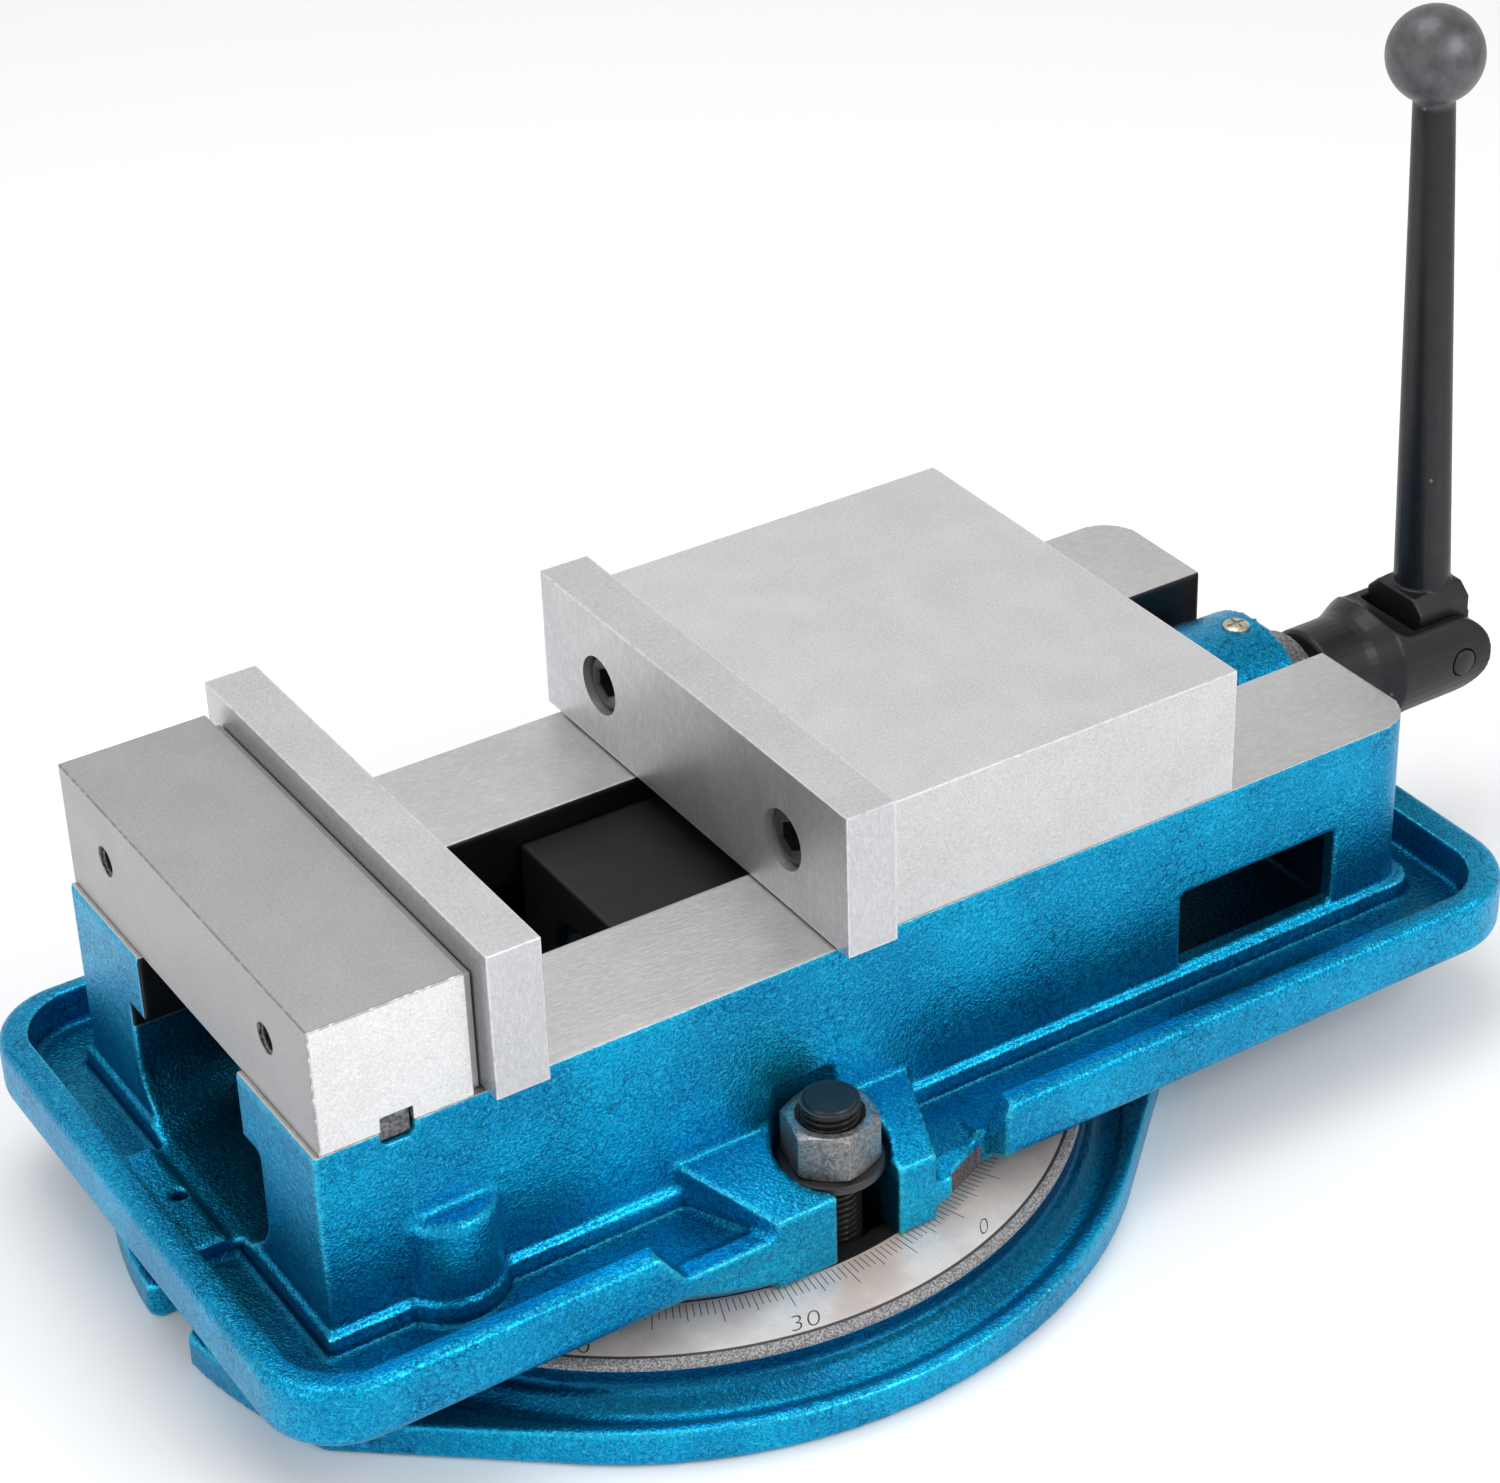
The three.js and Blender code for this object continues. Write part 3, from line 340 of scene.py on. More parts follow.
def body_shade(g, x, across, z):
    """Painted shade: where the paint is made dull and dark for the shadow that falls in the channel, the
    windows, the pan's trough and the clamp slots, and under the pan.
    """
    inside = g.both(g.step(across, WALL_OUT, WALL_OUT - 1), g.step(z, CHANNEL_FLOOR, CHANNEL_FLOOR + 1),
                    g.step(z, BED_TOP - 0.4, BED_TOP - 1), g.step(x, CHANNEL_START, CHANNEL_START + 1.1),
                    g.step(x, HOUSING_X - 0.8, HOUSING_X - 1.6))
    # The channel's painted shade is lighter at its open end and darkest from under the fixed jaw inwards.
    depth = g.mix(g.step(x, *UNDER_JAW), (0.48, 0.48, 0.48), (0.96, 0.96, 0.96))
    start, end = TROUGH["ends"]
    trough = g.both(g.step(z, TROUGH["top"], TROUGH["top"] - 3),
                    g.step(across, TROUGH["half"], TROUGH["half"] - 1),
                    g.step(x, start, start + 1.2), g.step(x, end, end - 1.2), 0.5)
    off_slot = g.math("ABSOLUTE", g.math("SUBTRACT", x, CLAMP_SLOT["x"]))
    clamp_slot = g.both(g.step(off_slot, CLAMP_SLOT["half"], CLAMP_SLOT["half"] - 0.6),
                        g.step(z, CLAMP_SLOT["top"], CLAMP_SLOT["top"] - 0.8),
                        g.step(across, WALL_OUT - 0.6, WALL_OUT + 0.4), 0.96)
    under = g.both(g.step(z, UNDERSIDE, UNDERSIDE - 1.2), g.step(across, 92, 88), 0.8)
    darkest = g.both(inside, depth)
    for shade in (trough, clamp_slot, under):
        darkest = g.math("MAXIMUM", darkest, shade)
    return darkest


def rail_slot(g, x, across, z):
    """The machined sides of the slot between the rails, and the undercuts below them."""
    sides = g.both(g.step(across, RAIL_INNER + 0.9, RAIL_INNER + 0.5),
                   g.step(z, RAIL_UNDER - 1.0, RAIL_UNDER - 0.4),
                   g.step(across, RAIL_INNER - 0.9, RAIL_INNER - 0.5), g.step(z, BED_TOP, BED_TOP - 0.2))
    undercut = g.both(g.step(across, CAVITY_HALF - 1.5, CAVITY_HALF - 1.0),
                      g.step(across, CAVITY_HALF + 0.6, CAVITY_HALF + 0.4),
                      g.step(z, RAIL_UNDER - 8, RAIL_UNDER - 7),
                      g.step(z, RAIL_UNDER + 1.0, RAIL_UNDER + 0.6), g.step(x, HOUSING_X, HOUSING_X - 1))
    return g.math("MAXIMUM", sides, undercut)


def zero_pad(g, x, y, z):
    """The bare flat that carries the zero mark, square to a line turned from -Y towards +X."""
    turn = math.radians(ZERO_PAD["angle"])
    out = g.math("SUBTRACT", g.math("MULTIPLY", x, math.sin(turn)), g.math("MULTIPLY", y, math.cos(turn)))
    along = g.math("ADD", g.math("MULTIPLY", x, math.cos(turn)), g.math("MULTIPLY", y, math.sin(turn)))
    off = g.math("ABSOLUTE", g.math("SUBTRACT", out, ZERO_PAD["out"]))
    return g.both(g.step(off, 0.6, 0.45),
                  g.step(g.math("ABSOLUTE", along), ZERO_PAD["half"], ZERO_PAD["half"] - 0.3),
                  g.step(z, ZERO_PAD["top"] + 0.3, ZERO_PAD["top"]))


def body_material():
    """The vise casting: paint with painted shade in its channel and hollows, ground rail tops, dark machined
    slot sides, bare zero pad.
    """
    g = Graph("vise_body_finish")
    x, y, z = g.axes()
    across = g.math("ABSOLUTE", y)
    top = g.step(z, BED_TOP - 0.30, BED_TOP - 0.14)
    slot = rail_slot(g, x, across, z)
    pad = zero_pad(g, x, y, z)
    bare = g.math("MAXIMUM", top, g.math("MAXIMUM", slot, pad))
    grain = g.stretched(0.3, 1.2, 1)
    steel = g.mix(slot, steel_colour(g, grain), DARK_IRON)
    mottle = g.mix(g.step(g.noise(0.8, 3, 0.7), 0.4, 0.62), *PAD_STEEL)
    steel = g.mix(pad, steel, mottle)
    # Painted shade: the paint is darkened towards the shade colour wherever body_shade marks it.
    paint = g.mix(body_shade(g, x, across, z), paint_colour(g), PAINT["shade"])
    rough = g.mix(bare, g.mix(g.noise(12, 2), *PAINT_ROUGH),
                  g.mix(g.noise(8, 3), (0.36, 0.36, 0.36), (0.50, 0.50, 0.50)))
    g.bump(g.mix(bare, paint_height(g), g.noise(1.0, 2, 0.5, grain)), *PAINT_BUMP)
    return g.surface(Base_Color=g.mix(bare, paint, steel), Roughness=rough,
                     Metallic=g.mix(bare, PAINT_METAL, (0.92, 0.92, 0.92)), **PAINT_COAT)


def base_material():
    """The swivel base: paint outside, with painted shade in its groove, a bright scale ring, a speckled
    chamfer, and painted shade inside the ring round the T-slot.
    """
    g = Graph("swivel_base_finish")
    x, y, z = g.axes()
    r = g.math("SQRT", g.math("ADD", g.math("MULTIPLY", x, x), g.math("MULTIPLY", y, y)))
    on_top = g.both(g.step(r, BAND_R + 0.6, BAND_R + 0.4), g.step(z, BAND_Z - 1.2, BAND_Z - 1.0))
    inside = g.math("MAXIMUM", on_top, g.step(r, SLOT_OUT + 6, SLOT_OUT + 5))
    band = g.step(r, RING_R - 0.1, RING_R + 0.1)
    line = g.both(g.step(r, RING_R - 0.75, RING_R - 0.6), g.step(r, RING_R + 0.3, RING_R + 0.1))
    slot = g.step(r, RING_INNER + 0.25, RING_INNER)
    ring = g.mix(g.step(g.noise(20, 4, 0.6), 0.35, 0.7), *RING_STEEL)
    ring = g.mix(g.both(g.step(g.noise(0.5, 2), 0.5, 0.8), 0.35), ring, (0.45, 0.44, 0.43))
    speckle = g.mix(g.step(g.noise(0.55, 2, 0.7), 0.40, 0.62), *CHAMFER_STEEL)
    steel = g.mix(band, ring, speckle)
    steel = g.mix(g.both(line, 0.95), steel, (0.03, 0.03, 0.03))
    # Painted shade: the ring's inside, round the T-slot and under the body's foot, made nearly black.
    steel = g.mix(slot, steel, (0.02, 0.02, 0.021))
    # Painted shade in the groove just outside the chamfer.
    ditch_shade = g.both(g.step(r, DITCH_R + 3.0, DITCH_R - 1), g.step(z, 3, 4), 0.75)
    paint = g.mix(ditch_shade, paint_colour(g), PAINT["ditch_shade"])
    rough = g.mix(inside, g.mix(g.noise(12, 2), *PAINT_ROUGH),
                  g.mix(band, (0.46, 0.46, 0.46), (0.62, 0.62, 0.62)))
    g.bump(g.mix(inside, paint_height(g), g.noise(0.6, 2)), *PAINT_BUMP)
    return g.surface(Base_Color=g.mix(inside, paint, steel), Roughness=rough,
                     Metallic=g.mix(inside, PAINT_METAL, (0.35, 0.35, 0.35)), **PAINT_COAT)


def ground_steel(name, grain, base, ends, edge_tone, box_of):
    """Ground steel for a block: a tone for its broad faces, a painted-light tone for its Y ends, and one for
    its edges that is partly wear and partly painted highlight.
    """
    g = Graph(name)
    place = g.stretched(*grain)
    low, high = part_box(box_of)
    edge = g.box_edge([v / MM for v in low], [v / MM for v in high], 0.75)
    # Along the edges: partly wear, partly painted highlight.
    worn = g.both(edge, g.step(g.noise(2.5, 3, 0.6), 0.32, 0.55), 0.7)
    across = g.math("ABSOLUTE", g.axes()[1])
    # Painted light: the Y end faces get their own tone for the light that falls on them.
    ends_painted_light = g.step(across, high[1] / MM - 0.35, high[1] / MM - 0.1)
    tone = g.mix(ends_painted_light, steel_colour(g, place, base), steel_colour(g, place, ends))
    sand = g.step(g.noise(0.55, 2, 0.7), 0.52, 0.66)
    tone = g.mix(g.math("MULTIPLY", sand, 0.22), tone, (0.22, 0.21, 0.205))
    colour = g.mix(worn, tone, edge_tone)
    g.bump(g.noise(0.8, 3, 0.6, place), 0.3, 0.03)
    rough = g.mix(g.noise(15, 3), (0.38,) * 3, (0.5,) * 3)
    return g.surface(Base_Color=colour, Roughness=rough, Metallic=0.9)


def black_oxide(name, base, edge_wear_and_highlight, rough):
    """Blackened steel, brightened on its edges by the given amount, partly rubbed by wear and partly a
    painted highlight, and polished where a hand holds it.
    """
    g = Graph(name)
    tone = g.mix(g.noise(6, 4, 0.6), tuple(0.6 * c for c in base), tuple(1.5 * c for c in base))
    scuffs = g.math("MULTIPLY", g.step(g.noise(2.2, 4, 0.6, g.stretched(1, 1, 0.3)), 0.62, 0.80), 0.12)
    tone = g.mix(scuffs, tone, (0.12, 0.12, 0.125))
    # Outside edges and thread crests brightened: partly wear, partly painted highlight.
    tone = g.mix(g.math("MULTIPLY", g.step(g.edges(), 0.53, 0.64), edge_wear_and_highlight), tone, (0.30, 0.295, 0.29))
    polished = g.math("MULTIPLY", g.step(g.axes()[2], BALL_BOTTOM, BALL_BOTTOM + 3), g.noise(5, 4, 0.6))
    tone = g.mix(polished, tone, (0.17, 0.168, 0.18))
    g.bump(g.noise(1.6, 4, 0.6), 0.22, 0.12)
    low, high = rough
    gloss = g.mix(g.noise(9, 3), (low,) * 3, (high,) * 3)
    return g.surface(Base_Color=tone, Roughness=gloss, Metallic=0.45)


def worn_steel(name, base, bright, rough=(0.34, 0.50)):
    """Forged or turned steel with a dark skin that has partly rubbed bright."""
    g = Graph(name)
    tone = g.mix(g.step(g.noise(2.2, 5, 0.7), 0.36, 0.66), tuple(0.6 * c for c in base), base)
    tone = g.mix(g.step(g.noise(0.9, 5, 0.75), 0.38, 0.68), tone, bright)
    g.bump(g.noise(0.9, 4, 0.6), 0.3, 0.08)
    low, high = rough
    return g.surface(Base_Color=tone, Roughness=g.mix(g.noise(4, 3), (low,) * 3, (high,) * 3), Metallic=0.9)


def turned_steel(name, base, axis_grain):
    """Steel straight from the lathe, with fine grain."""
    g = Graph(name)
    place = g.stretched(*axis_grain)
    tone = g.mix(g.step(g.noise(1.0, 3, 0.6, place), 0.4, 0.65), tuple(0.75 * c for c in base), base)
    g.bump(g.noise(1.0, 3, 0.6, place), 0.3, 0.04)
    return g.surface(Base_Color=tone, Roughness=g.mix(g.noise(7, 2), (0.26,) * 3, (0.4,) * 3), Metallic=1.0)


def ink():
    """Black filler, a little worn."""
    g = Graph("scale_marks_finish")
    return g.surface(Base_Color=g.mix(g.noise(0.5, 2), (0.015, 0.015, 0.015), (0.06, 0.058, 0.055)),
                     Roughness=0.7, Metallic=0.0)


# ---------------------------------------------------------------- mesh tools
def flat_faces(mesh):
    """Leans each corner's normal to its largest faces, so that broad faces shade flat up to a bevel."""
    mesh.shade_smooth()
    normals = np.zeros((len(mesh.vertices), 3))
    for polygon in mesh.polygons:
        normals[list(polygon.vertices)] += np.array(polygon.normal) * polygon.area ** 1.5
    normals /= np.maximum(np.linalg.norm(normals, axis=1), 1e-12)[:, None]
    mesh.normals_split_custom_set_from_vertices(normals.tolist())


def show_piece(name, mesh, material, body, smooth_angle=35):
    """Puts a mesh in the scene; with no smooth angle, its own normals are kept."""
    mesh.materials.clear()
    mesh.materials.append(material)
    if smooth_angle:
        mesh.shade_smooth()
        mesh.set_sharp_from_angle(angle=math.radians(smooth_angle))
    piece = bpy.data.objects.new(name, mesh)
    bpy.context.scene.collection.objects.link(piece)
    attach(piece, body)
    return piece


def clean(mesh, weld=0.002 * MM, facing=None):
    """Welds doubled corners, drops flat slivers and turns all faces out."""
    b = bmesh.new()
    b.from_mesh(mesh)
    bmesh.ops.remove_doubles(b, verts=b.verts, dist=weld)
    bmesh.ops.dissolve_degenerate(b, edges=b.edges, dist=weld)
    if facing:
        bmesh.ops.dissolve_limit(b, angle_limit=math.radians(facing), verts=b.verts, edges=b.edges)
    bmesh.ops.recalc_face_normals(b, faces=b.faces)
    b.to_mesh(mesh)
    b.free()
    return mesh


def evaluated(mesh, *modifiers):
    """The mesh after modifiers given as (type, settings)."""
    carrier = bpy.data.objects.new("carrier", mesh)
    bpy.context.scene.collection.objects.link(carrier)
    for kind, settings in modifiers:
        modifier = carrier.modifiers.new(kind.lower(), kind)
        for key, value in settings.items():
            setattr(modifier, key, value)
    bpy.context.view_layer.update()
    graph = bpy.context.evaluated_depsgraph_get()
    result = bpy.data.meshes.new_from_object(carrier.evaluated_get(graph))
    bpy.data.objects.remove(carrier)
    return result


def corners(mesh):
    co = np.empty(len(mesh.vertices) * 3, np.float64)
    mesh.vertices.foreach_get("co", co)
    return co.reshape(-1, 3)


RELAX_IN = 0.55
RELAX_OUT = -0.57


def relax(mesh, passes, weight=None):
    """Rounds a mesh's edges without shrinking it: each pass smooths it, then swells it back."""
    co = corners(mesh)
    ends = np.empty(len(mesh.edges) * 2, dtype=np.int32)
    mesh.edges.foreach_get("vertices", ends)
    first, second = ends.reshape(-1, 2).T
    count = np.bincount(ends, minlength=len(co))[:, None]
    strength = 1.0 if weight is None else weight(co)[:, None]
    for step in (RELAX_IN, RELAX_OUT) * passes:
        total = np.stack([np.bincount(first, co[second, k], len(co))
                          + np.bincount(second, co[first, k], len(co)) for k in range(3)], axis=1)
        co = co + step * strength * (total / count - co)
    mesh.vertices.foreach_set("co", co.astype(np.float32).ravel())


def cast(node, name, voxel, passes, material, body, weight=None, reshape=None):
    """A soft-edged copy of a CAD node, as sand casting and paint leave it; replaces the node."""
    source = clean(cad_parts[node].data.copy())
    mesh = evaluated(source, ("REMESH", {"mode": "VOXEL", "voxel_size": voxel, "adaptivity": 0.0}))
    if reshape:
        co = reshape(corners(mesh))
        mesh.vertices.foreach_set("co", co.astype(np.float32).ravel())
    relax(mesh, passes, weight)
    co = np.clip(corners(mesh), *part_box(node))
    mesh.vertices.foreach_set("co", co.astype(np.float32).ravel())
    piece = show_piece(name, mesh, material, body, 60)
    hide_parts(node)
    return piece


def machined(node, name, bevel, material, body, segments=2):
    """A copy of a CAD node with its sharp edges broken by a small bevel; replaces the node."""
    source = clean(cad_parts[node].data.copy(), facing=1.0)
    mesh = evaluated(source, ("BEVEL", {"width": bevel * MM, "segments": segments, "limit_method": "ANGLE",
                                        "angle_limit": math.radians(35), "miter_outer": "MITER_ARC"}))
    flat_faces(mesh)
    piece = show_piece(name, mesh, material, body, None)
    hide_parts(node)
    return piece


def turned(name, rows, centre, axis, material, body, segments=96, replaces=None, smooth_angle=35):
    """Rings round an axis, joined up. A row is (radius, height): numbers, or functions of the angle."""
    angles = np.arange(segments) * 2 * math.pi / segments
    rings = []
    for radius, height in rows:
        r = radius(angles) if callable(radius) else np.full(segments, float(radius))
        h = height(angles) if callable(height) else np.full(segments, float(height))
        rings.append(np.stack([r * np.cos(angles), r * np.sin(angles), h], 1))
    verts = np.concatenate(rings) * MM
    faces = []
    for i in range(len(rows) - 1):
        for j in range(segments):
            k = (j + 1) % segments
            faces.append((i * segments + j, i * segments + k, (i + 1) * segments + k, (i + 1) * segments + j))
    order = {"z": (0, 1, 2), "x": (2, 0, 1), "y": (1, 2, 0)}[axis]
    verts = verts[:, order] + np.array(centre) * MM
    mesh = bpy.data.meshes.new(name)
    mesh.from_pydata([tuple(v) for v in verts], [], faces)
    clean(mesh)
    piece = show_piece(name, mesh, material, body, smooth_angle)
    if replaces:
        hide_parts(replaces)
    return piece


def thread_rows(r, depth, pitch, start, end, per_turn=12):
    """Rings on a V thread's helix, fading out at both ends; a depth below 0 is for a hole's inside."""
    def row(height):
        fade = max(0.0, min(1.0, (height - start) * 2 / pitch, (end - height) * 2 / pitch))

        def radius(angles):
            phase = np.mod(height / pitch - angles / (2 * math.pi), 1.0)
            groove = np.clip(1.25 - np.abs(phase - 0.5) * 4, 0, 1)
            if depth > 0:
                return r - depth * groove * fade
            return r + depth * (1 - groove) * fade
        return radius, height
    steps = max(2, int((end - start) / pitch * per_turn))
    return [row(start + (end - start) * i / steps) for i in range(steps + 1)]


def hex_radius(across_flats, spin=0.0):
    """A hexagon's radius as a function of the angle; `spin` turns it, in degrees."""
    def radius(angles):
        off = np.mod(angles - math.radians(spin) + math.pi / 6, math.pi / 3) - math.pi / 6
        return across_flats / 2 / np.cos(off)
    return radius


def middle(node):
    """The middle of a CAD node's box, in millimetres."""
    low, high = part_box(node)
    return [(a + b) / 2 / MM for a, b in zip(low, high)]


def sleeve(name, x0, x1, y, z, material):
    """The threads inside a blind tapped hole that opens at x0."""
    r = TAPPED["r"]
    rows = [(r, x0), (r - 0.1, x0)] + thread_rows(r - 0.1, -TAPPED["thread"], TAPPED["pitch"], x0, x1)
    rows += [(r - 0.1, x1), (0, x1 + 1)]
    turned(name, rows, (0, y, z), "x", material, "vise", 48)


def span(node, axis):
    """Where a CAD node starts and ends along an axis, in millimetres."""
    low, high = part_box(node)
    return low[axis] / MM, high[axis] / MM


# ---------------------------------------------------------------- places, in millimetres
SIDES = (("near", -1), ("far", 1))
BED_TOP = span("vise_body", 2)[1]
BED_HALF = 69.5
RAIL_INNER = 28.3
RAIL_UNDER = 76.0
CAVITY_HALF = 37.5
HOUSING_X = 185.4
WALL_OUT = 66.6
CHANNEL_FLOOR = 39.2
CHANNEL_START = -131.6
UNDER_JAW = (-128, -88)
UNDERSIDE = 29.2
FOOT_TOP = 22.5
TROUGH = {"top": 40.0, "half": 91.0, "ends": (-147.2, 226.2)}
CLAMP_SLOT = {"x": 7.1, "half": 9.9, "top": 38.4}
ZERO_PAD = {"angle": 23.5, "out": 101.6, "half": 8.0, "top": 31.0}
TAPPED = {"r": 4.15, "y": 45.7, "z": 115.5, "deep": 16, "pitch": 1.25, "thread": 0.65}
SLOT_OUT = 91.6
RING_INNER = 97.4
RING_R = 117.3
RING_Z = 19.9
BAND_R = 119.9
BAND_Z = 18.8
DITCH_R = 125.5
BASE_TURN = 1.5
BALL_BOTTOM = 241


# ---------------------------------------------------------------- castings
def true_circle(co, low, high, start, step, inner, outer):
    """Moves corners that lie on a many-sided wall out to the true circle between two angles, in degrees."""
    r = np.hypot(co[:, 0], co[:, 1])
    angle = np.mod(np.degrees(np.arctan2(co[:, 1], co[:, 0])), 360)
    off = np.mod(angle - start, step) - step / 2
    factor = np.cos(np.radians(off)) / math.cos(math.radians(step / 2))
    chosen = (r > inner * MM) & (r < outer * MM) & (angle >= low) & (angle <= high)
    co[chosen, :2] *= factor[chosen, None]
    return co


BASE_WALL = {"step": 5, "inner": 30, "outer": 131.2}
WIDE_ARCS = {"starts": (49, 229), "sweep": 82, "sides": 20, "outer": 140}


def round_base(co):
    """The base's round walls, and the wider arcs at its two sides."""
    wall = BASE_WALL["outer"]
    co = true_circle(co, 0, 360, BASE_TURN, BASE_WALL["step"], BASE_WALL["inner"], wall)
    for start in WIDE_ARCS["starts"]:
        first = start + BASE_TURN
        arc = WIDE_ARCS["sweep"] / WIDE_ARCS["sides"]
        co = true_circle(co, first, first + WIDE_ARCS["sweep"], first, arc, wall, WIDE_ARCS["outer"])
    return co


def base_weight(co):
    """The ring is machined, so its edges stay crisper than the painted casting's."""
    r = np.hypot(co[:, 0], co[:, 1])
    machined_ring = (r < (BAND_R + 1.0) * MM) & (co[:, 2] > (BAND_Z - 2.5) * MM)
    return np.where(machined_ring, 0.10, 1.0)


def body_weight(co):
    """Rail tops, the slot between the rails and the foot are machined; the rest is cast."""
    machined_top = (co[:, 2] > (BED_TOP - 0.6) * MM) & (np.abs(co[:, 1]) < BED_HALF * MM)
    machined_slot = (np.abs(co[:, 1]) < (RAIL_INNER + 1.2) * MM) & (co[:, 2] > (RAIL_UNDER - 2) * MM)
    machined_foot = co[:, 2] < FOOT_TOP * MM
    return np.where(machined_top | machined_slot, 0.06, np.where(machined_foot, 0.3, 1.0))


def castings():
    voxel = 0.9
    cast("vise_body", "vise_body_casting", voxel * MM, 5, body_material(), "vise", body_weight)
    cast("swivel_base", "swivel_base_casting", voxel * MM, 5, base_material(), "base",
         base_weight, round_base)


# ---------------------------------------------------------------- scale on the base ring
TICK_INNER = 98.3
TICK_OUTER = {1: 103.2, 5: 104.9, 10: 106.9}
TICK_WIDTH = 0.24
MARK_LIFT = 0.02
ZERO_AT = -71.0
TICK_DEPTH = 0.3
DIGITS_R = 113.2
DIGITS_HIGH = 6.4
DIGITS_UP = 62
DIGITS_DEPTH = 0.15
DIGITS_THINNER = 0.19
FONT_PER_HEIGHT = 1.35


def scale_lines(material):
    """A line for each degree, longer each five and ten."""
    verts, faces = [], []
    for degree in range(360):
        length = 10 if degree % 10 == 0 else 5 if degree % 5 == 0 else 1
        turn = math.radians(ZERO_AT - degree)
        out = Vector((math.cos(turn), math.sin(turn), 0))
        side = Vector((-out.y, out.x, 0)) * TICK_WIDTH / 2
        z = Vector((0, 0, RING_Z + MARK_LIFT))
        first = len(verts)
        inner, outer = TICK_INNER, TICK_OUTER[length]
        for depth in (0, -TICK_DEPTH):
            for r, s in ((inner, -1), (outer, -1), (outer, 1), (inner, 1)):
                verts.append((out * r + side * s + z + Vector((0, 0, depth))) * MM)
        faces.append([first, first + 1, first + 2, first + 3])
        faces.append([first + 7, first + 6, first + 5, first + 4])
        for k in range(4):
            n = (k + 1) % 4
            faces.append([first + k, first + k + 4, first + n + 4, first + n])
    mesh = bpy.data.meshes.new("scale_lines")
    mesh.from_pydata([tuple(v) for v in verts], [], faces)
    clean(mesh, weld=0.0001 * MM)
    show_piece("scale_lines", mesh, material, "base")


def digits(text):
    """A mesh of a number, centred on the origin and lying in the XY plane."""
    curve = bpy.data.curves.new("digits", "FONT")
    curve.body = text
    curve.size = DIGITS_HIGH * FONT_PER_HEIGHT * MM
    curve.align_x, curve.align_y = "CENTER", "CENTER"
    curve.extrude = DIGITS_DEPTH * MM
    curve.offset = -DIGITS_THINNER * MM
    curve.space_character = 1.05
    carrier = bpy.data.objects.new("digits", curve)
    bpy.context.scene.collection.objects.link(carrier)
    bpy.context.view_layer.update()
    graph = bpy.context.evaluated_depsgraph_get()
    mesh = bpy.data.meshes.new_from_object(carrier.evaluated_get(graph))
    bpy.data.objects.remove(carrier)
    return mesh


def scale_numbers(material):
    """A number each thirty degrees, 0 to 180 and back; its foot runs along the ring, its upright one way."""
    for degree in range(0, 360, 30):
        mesh = digits(str(min(degree, 360 - degree)))
        turn = math.radians(ZERO_AT - degree)
        place = Matrix.Translation(Vector((DIGITS_R * math.cos(turn), DIGITS_R * math.sin(turn),
                                           RING_Z + MARK_LIFT - DIGITS_DEPTH)) * MM)
        up = math.radians(DIGITS_UP + (0 if math.sin(turn) < 0 else 180))
        lean = Matrix(((-math.sin(turn), math.cos(up), 0, 0), (math.cos(turn), math.sin(up), 0, 0),
                       (0, 0, 1, 0), (0, 0, 0, 1)))
        mesh.transform(place @ lean)
        show_piece(f"scale_number_{degree}", clean(mesh), material, "base")


# ---------------------------------------------------------------- jaws
# The ends tones are painted light on each block's Y end faces; the edges tones are partly wear, partly
# painted highlight.
JAW_BLOCKS = {
    "fixed_jaw_block": {"body": "vise", "faces": (0.44, 0.432, 0.43), "ends": (0.84, 0.835, 0.83),
                        "edges": (0.20, 0.19, 0.19)},
    "moving_jaw_block": {"body": "moving_jaw", "faces": (0.70, 0.685, 0.685),
                         "ends": (0.66, 0.655, 0.655), "edges": (0.8, 0.8, 0.8)},
}
# Plate edges: partly wear, partly painted highlight.
PLATE_STEEL = (0.62, 0.62, 0.63)
PLATE_EDGES = (0.8, 0.8, 0.8)
KEY_SCALE = 0.984
HOLE_LIP = 0.3


def jaws(key_steel, iron):
    for node, look in JAW_BLOCKS.items():
        steel = ground_steel(node + "_finish", (1, 1, 1), look["faces"], look["ends"], look["edges"], node)
        machined(node, node + "_ground", 0.35, steel, look["body"])
    for node, body in (("fixed_jaw_plate", "vise"), ("moving_jaw_plate", "moving_jaw")):
        steel = ground_steel(node + "_finish", (1.0, 0.6, 0.3), PLATE_STEEL, PLATE_STEEL, PLATE_EDGES, node)
        machined(node, node + "_ground", 0.3, steel, body)
    key = machined("fixed_jaw_key", "fixed_jaw_key_ground", 0.25, key_steel, "vise")
    key.data.transform(Matrix.Diagonal((1, KEY_SCALE, 1, 1)))
    cast("jaw_nut", "jaw_nut_casting", 0.8 * MM, 9, iron, "moving_jaw")


def tapped_holes(material):
    """The two threaded holes in the back of the fixed jaw."""
    end = span("fixed_jaw_block", 0)[0]
    for name, side in SIDES:
        sleeve(f"fixed_jaw_tapped_hole_{name}", end + HOLE_LIP, end + TAPPED["deep"], side * TAPPED["y"],
               TAPPED["z"], material)


SCREW_HEAD = {"r": 8.0, "long": 10.0, "edge": 1, "socket": 8.0, "mouth": 5.6, "chamfer": 0.7, "deep": 5.5}
SHANK = {"r": 4.9, "edge": 1, "thread": 0.7, "pitch": 1.5, "plain": 2}


